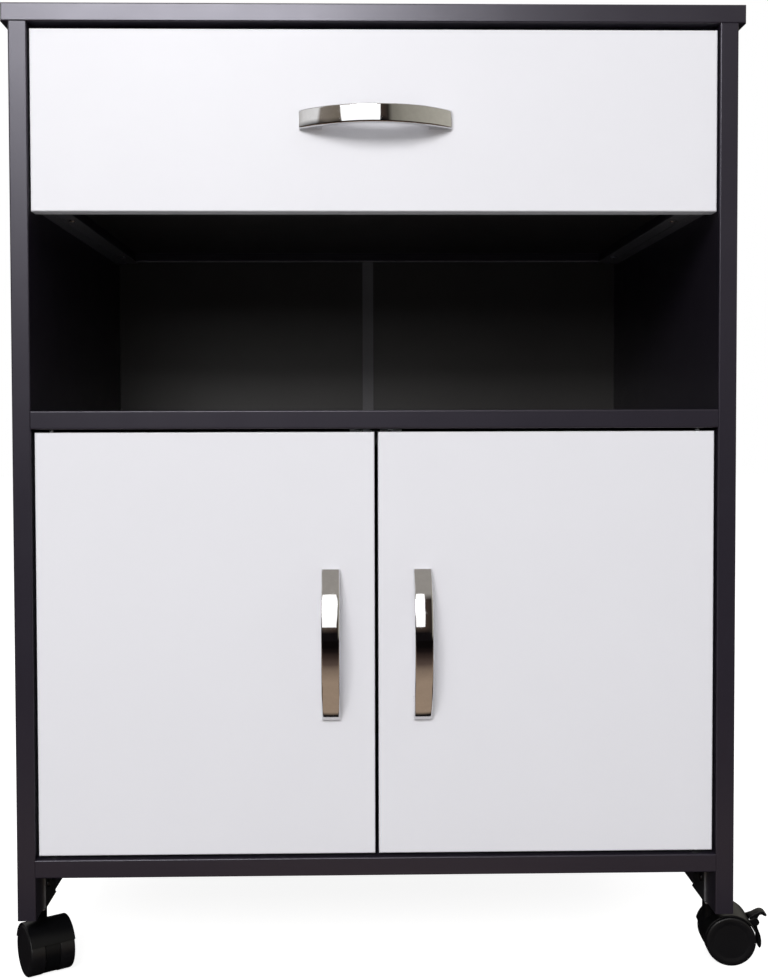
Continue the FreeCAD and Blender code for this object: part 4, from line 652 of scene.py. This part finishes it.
# A cast cam. Its face is level but for a cross recess, a pointer groove, a shallow dish and a rim
# that falls away with the square of the way to the edge, and a plain wall runs back from it.
def camDisc(points):
    look = camLook
    low, high = points.min(0), points.max(0)
    axis = int(np.argmin(high - low))
    height, radius = (high - low)[axis] / mm, max(high - low) / 2 / mm
    middle = (low + high) / 2
    # the face that shows is the one flush with the board, towards the middle or the floor
    outward = np.zeros(3)
    outward[axis] = -1.0 if axis == 2 else -math.copysign(1.0, middle[axis])
    z = Vector(-outward)
    x = Vector((0, 1, 0))
    start = middle + outward * height * mm / 2
    place = Matrix.Translation(Vector(start)) @ Matrix((x, z.cross(x), z)).transposed().to_4x4()

    def face(x, y):
        r = np.hypot(x, y)
        nearEnd, farEnd = look["pointer"]
        recess = crossRecess(x, y, look["arm"], look["slot"], look["depth"], look["slope"])
        pointer = np.clip((look["pointerHalf"] - np.abs(y)) / look["pointerSlope"], 0, 1) * (x > 0)
        pointer = pointer * np.clip((r - nearEnd) / look["pointerFade"], 0, 1)
        pointer = pointer * np.clip((farEnd - r) / look["pointerFade"], 0, 1)
        dish = look["dishDepth"] * np.clip((look["dish"] - r) / look["dishSlope"], 0, 1)
        rim = look["rim"] * np.clip((r - (radius - look["rim"])) / look["rim"], 0, 1) ** 2
        return -(recess + look["pointerDepth"] * pointer + dish + rim)

    sides = look["sides"]
    cosine, sine = circle(sides)
    wall = np.array([np.stack([radius * cosine, radius * sine, np.full(sides, h)], 1)
                     for h in (look["rim"], height)]).reshape(-1, 3)
    wall = (wall, gridFaces(2, sides) + [list(range(sides, 2 * sides))])
    top = headDisc(radius, face, look["rings"], sides)
    return [(placed(p * mm, place), faces) for p, faces in (top, wall)]


for node in ("cam_locks", "drawer_cam_locks"):
    parts = []
    for points in solidsOf(node):
        parts += camDisc(points)
    addPiece(node, "_cast", parts, "zinc", camLook["sharp"])
print("stage: cams")

corners = [name[len("caster_wheels_"):] for name in frame["nodes"] if name.startswith("caster_wheels_")]
jointOf = {joint["name"]: joint for joint in frame["joints"]}


# from a caster's own frame, X trailing and the floor at Z = 0, to its place, and its trail
def casterPlace(corner):
    stem = Vector(jointOf["caster_%s_swivel" % corner]["pos_m"])
    hub = Vector(jointOf["wheels_%s_spin" % corner]["pos_m"])
    trail = Vector((hub.x - stem.x, hub.y - stem.y, 0))
    x = trail.normalized()
    z = Vector((0, 0, 1))
    turn = Matrix((x, z.cross(x), z)).transposed().to_4x4()
    return Matrix.Translation((stem.x, stem.y, 0)) @ turn, trail.length / mm


# inner and outer are the faces' places along the axle, and the slope is the dish's
wheelLook = {"radius": 21.0, "inner": 6.3, "outer": 18.8, "tyreEdge": 0.6, "shoulder": 2.2,
             "lip": 4.0, "lipEdge": 1.2, "dish": 0.5, "slope": 2.8, "dishEdge": 1.4, "crown": 0.2,
             "bore": 3.05, "boreEnd": 3.0, "arcSteps": 4, "sides": 96, "sharp": 40}


# half section of one wheel as (radius, height along the axle), with arcs at its corners
def wheelProfile():
    look = wheelLook
    outer, inner, r = look["outer"], look["inner"], look["radius"]
    floor = outer - look["dish"]
    outline = [
        (look["bore"], inner), (r, inner), (r, outer), (r - look["lip"], outer),
        (r - look["lip"] - look["slope"], floor), (0.0, floor + look["crown"]),
        (0.0, outer - look["boreEnd"]), (look["bore"], outer - look["boreEnd"])]
    radii = [0, look["tyreEdge"], look["shoulder"], look["lipEdge"], look["dishEdge"], 0, 0, 0]
    return roundedProfile(outline, radii, look["arcSteps"])


# Two wheels on one axle, each the half section turned about it:
# x = trail + r cos a, y = side * height, z = radius + r sin a.
def wheelPair(corner):
    place, trail = casterPlace(corner)
    profile = wheelProfile()
    r, height = np.concatenate([profile, profile[:1]]).T[:, :, None]
    cosine, sine = circle(wheelLook["sides"])
    faces = gridFaces(len(r), wheelLook["sides"])
    parts = []
    for side in (-1, 1):
        along = np.repeat(side * height, wheelLook["sides"], 1)
        points = np.stack([trail + r * cosine, along, wheelLook["radius"] + r * sine], -1)
        parts.append((placed(points.reshape(-1, 3) * mm, place), faces))
    addPiece("caster_wheels_" + corner, "_moulded", parts, "wheel", wheelLook["sharp"])


for corner in corners:
    wheelPair(corner)
print("stage: wheels")

# the lever's side outline round its pin, X trailing and Z up, and its edges
leverLook = {
    "pedal": [(-4.0, 2.6), (-2.4, 4.2), (0.0, 5.6), (2.5, 7.0), (4.8, 7.8), (7.2, 7.7), (9.2, 6.5),
              (10.2, 4.7), (9.3, 3.6), (7.4, 4.3), (6.0, 4.9), (4.4, 4.6), (3.2, 3.0)],
    "tongue": [(2.6, 1.0), (2.5, -2.0), (2.6, -6.0), (4.0, -10.0), (5.2, -13.5), (5.9, -18.0),
               (5.6, -22.2), (4.4, -23.7), (3.2, -22.6), (2.7, -20.0), (2.6, -15.2), (1.8, -11.5),
               (0.6, -7.5), (-1.0, -3.6), (-2.6, -1.6), (-3.6, 0.6)],
    "curveSteps": 6, "halfWidth": 4.4, "edge": 0.6, "edgeSteps": 5, "hubHalf": 6.0, "hubRadius": 3.0,
    "hubEdge": 0.3, "hubSides": 48, "bore": 1.65, "boreSides": 32, "sharp": 50}


# a closed Catmull-Rom curve: p(t) = (2b + (c-a)t + (2a-5b+4c-d)t^2 + (3b-a-3c+d)t^3) / 2
def smoothLoop(outline, steps):
    b = np.asarray(outline, float)
    a, c, d = np.roll(b, 1, 0), np.roll(b, -1, 0), np.roll(b, -2, 0)
    t = (np.arange(steps) / steps)[None, :, None]
    a, b, c, d = (v[:, None, :] for v in (a, b, c, d))
    curve = 2 * b + (c - a) * t + (2 * a - 5 * b + 4 * c - d) * t ** 2
    return ((curve + (3 * b - a - 3 * c + d) * t ** 3) / 2).reshape(-1, 2)


# A clockwise loop moved inwards along its normals. Points that end nearer the loop than that, in
# its tight corners, slide together between their good neighbours.
def insetLoop(outline, amount):
    nearly = 0.985  # a good point keeps this share of its distance from the whole loop
    if amount < 1e-6:
        return outline
    along = np.roll(outline, -1, 0) - np.roll(outline, 1, 0)
    inward = np.stack([along[:, 1], -along[:, 0]], 1) / np.linalg.norm(along, axis=1)[:, None]
    moved = outline + inward * amount
    gaps = np.linalg.norm(moved[:, None] - outline[None], axis=2).min(1)
    good = np.flatnonzero(gaps > amount * nearly)
    count = len(outline)
    spots = np.concatenate([good - count, good, good + count])
    values = np.concatenate([moved[good]] * 3)
    return np.stack([np.interp(np.arange(count), spots, values[:, i]) for i in (0, 1)], 1)


# A slab with quarter-circle edges, bored through across its thickness: at an angle a of the edge
# the outline is inset by edge (1 - sin a) and lies at half - edge (1 - cos a).
def boredSlab(outline, half, edge, centre):
    rings = []
    for side in (-1, 1):
        for a in np.linspace(0, math.pi / 2, leverLook["edgeSteps"])[::-side]:
            shape = insetLoop(outline, edge * (1 - math.sin(a)))
            y = side * (half - edge * (1 - math.cos(a)))
            rings.append(np.column_stack([shape[:, 0], np.full(len(shape), y), shape[:, 1]]))
    sides = leverLook["boreSides"]
    cosine, sine = circle(sides)
    walls = [np.column_stack([leverLook["bore"] * cosine, np.full(sides, y), leverLook["bore"] * sine])
             for y in (-half, half)]
    count, base = len(outline), len(rings) * len(outline)
    faces = gridFaces(len(rings), count) + gridFaces(2, sides, base)
    # each end is a flat cap between the outline and the bore
    for end, firstRim in ((0, 0), (1, base - count)):
        numbers = [*range(firstRim, firstRim + count), *range(base + sides * end, base + sides * (end + 1))]
        flat = [[Vector((x, z, 0)) for x, _, z in loop] for loop in (rings[-end], walls[end])]
        faces += [[numbers[v] for v in face] for face in tessellate_polygon(flat)]
    return np.concatenate(rings + walls) + centre, faces


# a rocker: a narrow pedal and tongue on a hub that fills the space between the ears
def brakeLever(corner):
    look = leverLook
    place, _ = casterPlace(corner)
    pivot = np.array(place.inverted() @ Vector(jointOf["brake_%s_rock" % corner]["pos_m"])) / mm
    pivot[1] = 0
    blade = smoothLoop(look["pedal"] + look["tongue"], look["curveSteps"])
    blade = boredSlab(blade, look["halfWidth"], look["edge"], pivot)
    clockwise = np.linspace(2 * np.pi, 0, look["hubSides"], endpoint=False)
    hub = look["hubRadius"] * np.stack([np.cos(clockwise), np.sin(clockwise)], 1)
    hub = boredSlab(hub, look["hubHalf"], look["hubEdge"], pivot)
    parts = [(placed(p * mm, place), faces) for p, faces in (blade, hub)]
    addPiece("brake_lever_" + corner, "_moulded", parts, "hood", look["sharp"])


for corner in corners:
    if "brake_lever_" + corner in frame["nodes"]:
        brakeLever(corner)
print("stage: brake levers")

# Area lamps: place, size and target in metres, power in watts. The low and fill lamps soften
# shadows, and the side lamps stand behind the front faces, so they light the sides alone.
cabinetMiddle = (0, 0, 0.4)
lamps = {
    "keyLight": {"at": (-0.56, -2.9, 1.97), "size": (1.35, 1.0), "power": 56, "target": cabinetMiddle},
    "softLight": {"at": (-0.86, -2.95, 1.9), "size": (2.3, 2.0), "power": 21, "target": (-0.86, 0, 0.9)},
    "lowLight": {"at": (-0.1, -3.0, 0.35), "size": (2.6, 0.7), "power": 1.0, "target": (0, 0, 0.5)},
    "fillLight": {"at": (2.6, -1.2, 1.6), "size": (2.0, 2.0), "power": 6.5, "target": cabinetMiddle},
    "topLight": {"at": (-0.2, 0.9, 2.6), "size": (2.2, 2.2), "power": 26, "target": cabinetMiddle},
    "sideLight_left": {"at": (-2.5, 0.7, 1.3), "size": (1.8, 1.8), "power": 16, "target": cabinetMiddle},
    "sideLight_right": {"at": (2.5, 0.7, 1.3), "size": (1.8, 1.8), "power": 16, "target": cabinetMiddle},
}
mirroredLamps = ("keyLight", "softLight", "topLight")  # gloss shows no others
for name, look in lamps.items():
    lamp = bpy.data.lights.new(name, "AREA")
    lamp.shape = "RECTANGLE"
    lamp.size, lamp.size_y = look["size"]
    lamp.energy = look["power"]
    thing = bpy.data.objects.new(name, lamp)
    bpy.context.scene.collection.objects.link(thing)
    aim = (Vector(look["target"]) - Vector(look["at"])).to_track_quat("-Z", "Y").to_matrix().to_4x4()
    thing.matrix_world = Matrix.Translation(look["at"]) @ aim
    thing.visible_glossy = name in mirroredLamps

# The floor: the eye sees a bright white sweep that keeps the shadow. Polished parts mirror a painted
# reflection: for glossy rays the floor glows, dark far off and turning tan towards the cabinet as a
# patch in front of the doors, and dark outside the patch, a painted shade under and behind the
# cabinet. Places are in metres.
floorLook = {"half": 8.0, "paper": "a9a8a6", "glow": 0.90, "fade": (-2.0, -0.45), "dark": "1a1819",
             "tones": [(0.0, "0d0a0a"), (0.39, "1c1514"), (0.65, "3c302b"), (0.81, "5a4b43"),
                       (0.89, "857364"), (1.0, "a48f7b")],
             "patchRear": (-0.21, -0.19), "patchSides": (0.12, 0.24), "patchFront": (-0.40, -0.33)}
floorMaterial, add = newMaterial("paperFloor")
ground = add("NewGeometry", out="Position")
sideways, depth = (add("SeparateXYZ", {"Vector": ground}, axis) for axis in "XY")
sideways = add("Math", {0: sideways}, operation="ABSOLUTE")
away = add("MapRange", {"Value": depth, "From Min": floorLook["fade"][0], "From Max": floorLook["fade"][1]})
paintedReflection = add("ValToRGB", {"Fac": away}, stops=floorLook["tones"])
# the patch lies ahead of the doors, and there either between the handles or farther out
ahead, between, farther = (
    add("MapRange", {"Value": value, "From Min": floorLook[edge][0], "From Max": floorLook[edge][1],
                     "To Min": 1.0, "To Max": 0.0})
    for value, edge in ((depth, "patchRear"), (sideways, "patchSides"), (depth, "patchFront")))
patch = add("Math", {0: between, 1: farther}, operation="MAXIMUM")
patch = add("Math", {0: ahead, 1: patch}, operation="MULTIPLY")
# painted shade: outside the patch the glowing floor is dark, standing for the cabinet's shade under and behind it
paintedReflection = add("Mix", {0: patch, 6: floorLook["dark"], 7: paintedReflection}, 2, data_type="RGBA")
paintedReflection = add("Emission", {"Color": paintedReflection})
plain = add("BsdfDiffuse", {"Color": floorLook["paper"]})
glow = add("Emission", {"Color": "ffffff", "Strength": floorLook["glow"]})
lit = add("AddShader", {0: plain, 1: glow})
bounced = add("MixShader", {0: add("LightPath", out="Is Glossy Ray"), 1: plain, 2: paintedReflection})
seen = add("MixShader", {0: add("LightPath", out="Is Camera Ray"), 1: bounced, 2: lit})
add("OutputMaterial", {"Surface": seen})
floorMesh = bpy.data.meshes.new("floor")
half = floorLook["half"]
floorMesh.from_pydata([(-half, -half, 0), (half, -half, 0), (half, half, 0), (-half, half, 0)],
                      [], [(0, 1, 2, 3)])
floorMesh.materials.append(floorMaterial)
floor = bpy.data.objects.new("floor", floorMesh)
bpy.context.scene.collection.objects.link(floor)

# The world: the eye sees white, and dull surfaces are lit by a grey room. Polished parts mirror
# walls and windows round the compass, 0 to 1 from the left of the camera through behind it to the
# right, above a dark dado that is lower on the right, and under a grey ceiling. Heights are the
# upward part of a direction of length one.
worldLook = {
    "room": [(0.0, "77705c"), (0.48, "5d5847"), (0.52, "39383a"), (0.62, "8f9093"), (0.72, "d0d2d6"),
             (1.0, "f2f3f5")], "roomStrength": 0.5,
    "walls": [(0.0, "c9c7c4"), (0.06, "e8e6e4"), (0.16, "f5f4f2"), (0.18, "8b8278"), (0.28, "7d7468"),
              (0.52, "4a3c34"), (0.575, "2e2925"), (0.6, "827e74"), (0.68, "9c988c"), (0.86, "b5b1a4"),
              (1.0, "c2beb2")],
    "dado": "131011", "dadoTop": (0.10, 0.20), "dadoDrop": 0.16, "dadoStep": (0.55, 0.62),
    "ceiling": "a39e97", "ceilingFrom": (0.64, 0.72)}
world = bpy.context.scene.world or bpy.data.worlds.new("studioWorld")
bpy.context.scene.world = world
world.use_nodes = True
world.node_tree.nodes.clear()
add = partial(addNode, world.node_tree)
direction = add("TexCoord", out="Generated")
across, forwards, upwards = (add("SeparateXYZ", {"Vector": direction}, axis) for axis in "XYZ")
room = add("MapRange", {"Value": upwards, "From Min": -1.0, "From Max": 1.0})
room = add("ValToRGB", {"Fac": room}, stops=worldLook["room"])
room = add("Background", {"Color": room, "Strength": worldLook["roomStrength"]})
forwards = add("Math", {0: forwards, 1: -1.0}, operation="MULTIPLY")
compass = add("Math", {0: across, 1: forwards}, operation="ARCTAN2")
compass = add("MapRange", {"Value": compass, "From Min": -math.pi / 2, "From Max": math.pi / 2})
walls = add("ValToRGB", {"Fac": compass}, stops=worldLook["walls"])
drop = add("MapRange", {"Value": compass, "From Min": worldLook["dadoStep"][0],
                        "From Max": worldLook["dadoStep"][1], "To Max": worldLook["dadoDrop"]})
dado = add("Math", {0: upwards, 1: drop}, operation="ADD")
dado = add("MapRange", {"Value": dado, "From Min": worldLook["dadoTop"][0],
                        "From Max": worldLook["dadoTop"][1], "To Min": 1.0, "To Max": 0.0})
walls = add("Mix", {0: dado, 6: walls, 7: worldLook["dado"]}, 2, data_type="RGBA")
ceiling = add("MapRange", {"Value": upwards, "From Min": worldLook["ceilingFrom"][0],
                           "From Max": worldLook["ceilingFrom"][1]})
walls = add("Mix", {0: ceiling, 6: walls, 7: worldLook["ceiling"]}, 2, data_type="RGBA")
walls = add("Background", {"Color": walls})
white = add("Background", {"Color": "ffffff"})
around = add("MixShader", {0: add("LightPath", out="Is Glossy Ray"), 1: room, 2: walls})
around = add("MixShader", {0: add("LightPath", out="Is Camera Ray"), 1: around, 2: white})
add("OutputWorld", {"Surface": around})

# The camera: its place, three turns in degrees, its focal length and optical centre in pixels of
# the rendered image, and its sensor.
shot = {"at": (-23.0, -1138.7, 466.8), "yaw": 1.04, "pitch": -1.65, "roll": -0.155, "focal": 1182.8,
        "centre": (369.4, 449.9), "image": (768, 980), "sensor": 36.0, "clipStart": 50}
yaw, pitch, roll = (math.radians(shot[turn]) for turn in ("yaw", "pitch", "roll"))
ahead = Vector((math.sin(yaw) * math.cos(pitch), math.cos(yaw) * math.cos(pitch), math.sin(pitch)))
side = Vector((math.cos(yaw), -math.sin(yaw), 0))
up = side.cross(ahead)
right = side * math.cos(roll) + up * math.sin(roll)
up = up * math.cos(roll) - side * math.sin(roll)
width, height = shot["image"]
lens = bpy.data.cameras.new("frontLens")
lens.sensor_width = shot["sensor"]
lens.lens = shot["focal"] * shot["sensor"] / height
lens.shift_x = (width / 2 - shot["centre"][0]) / height
lens.shift_y = (shot["centre"][1] - height / 2) / height
lens.clip_start = shot["clipStart"] * mm
camera = bpy.data.objects.new("frontCamera", lens)
bpy.context.scene.collection.objects.link(camera)
turn = Matrix((right, up, -ahead)).transposed().to_4x4()
camera.matrix_world = Matrix.Translation(Vector(shot["at"]) * mm) @ turn
bpy.context.scene.camera = camera
bpy.context.scene.view_settings.view_transform = "Standard"
print("stage: studio and camera")
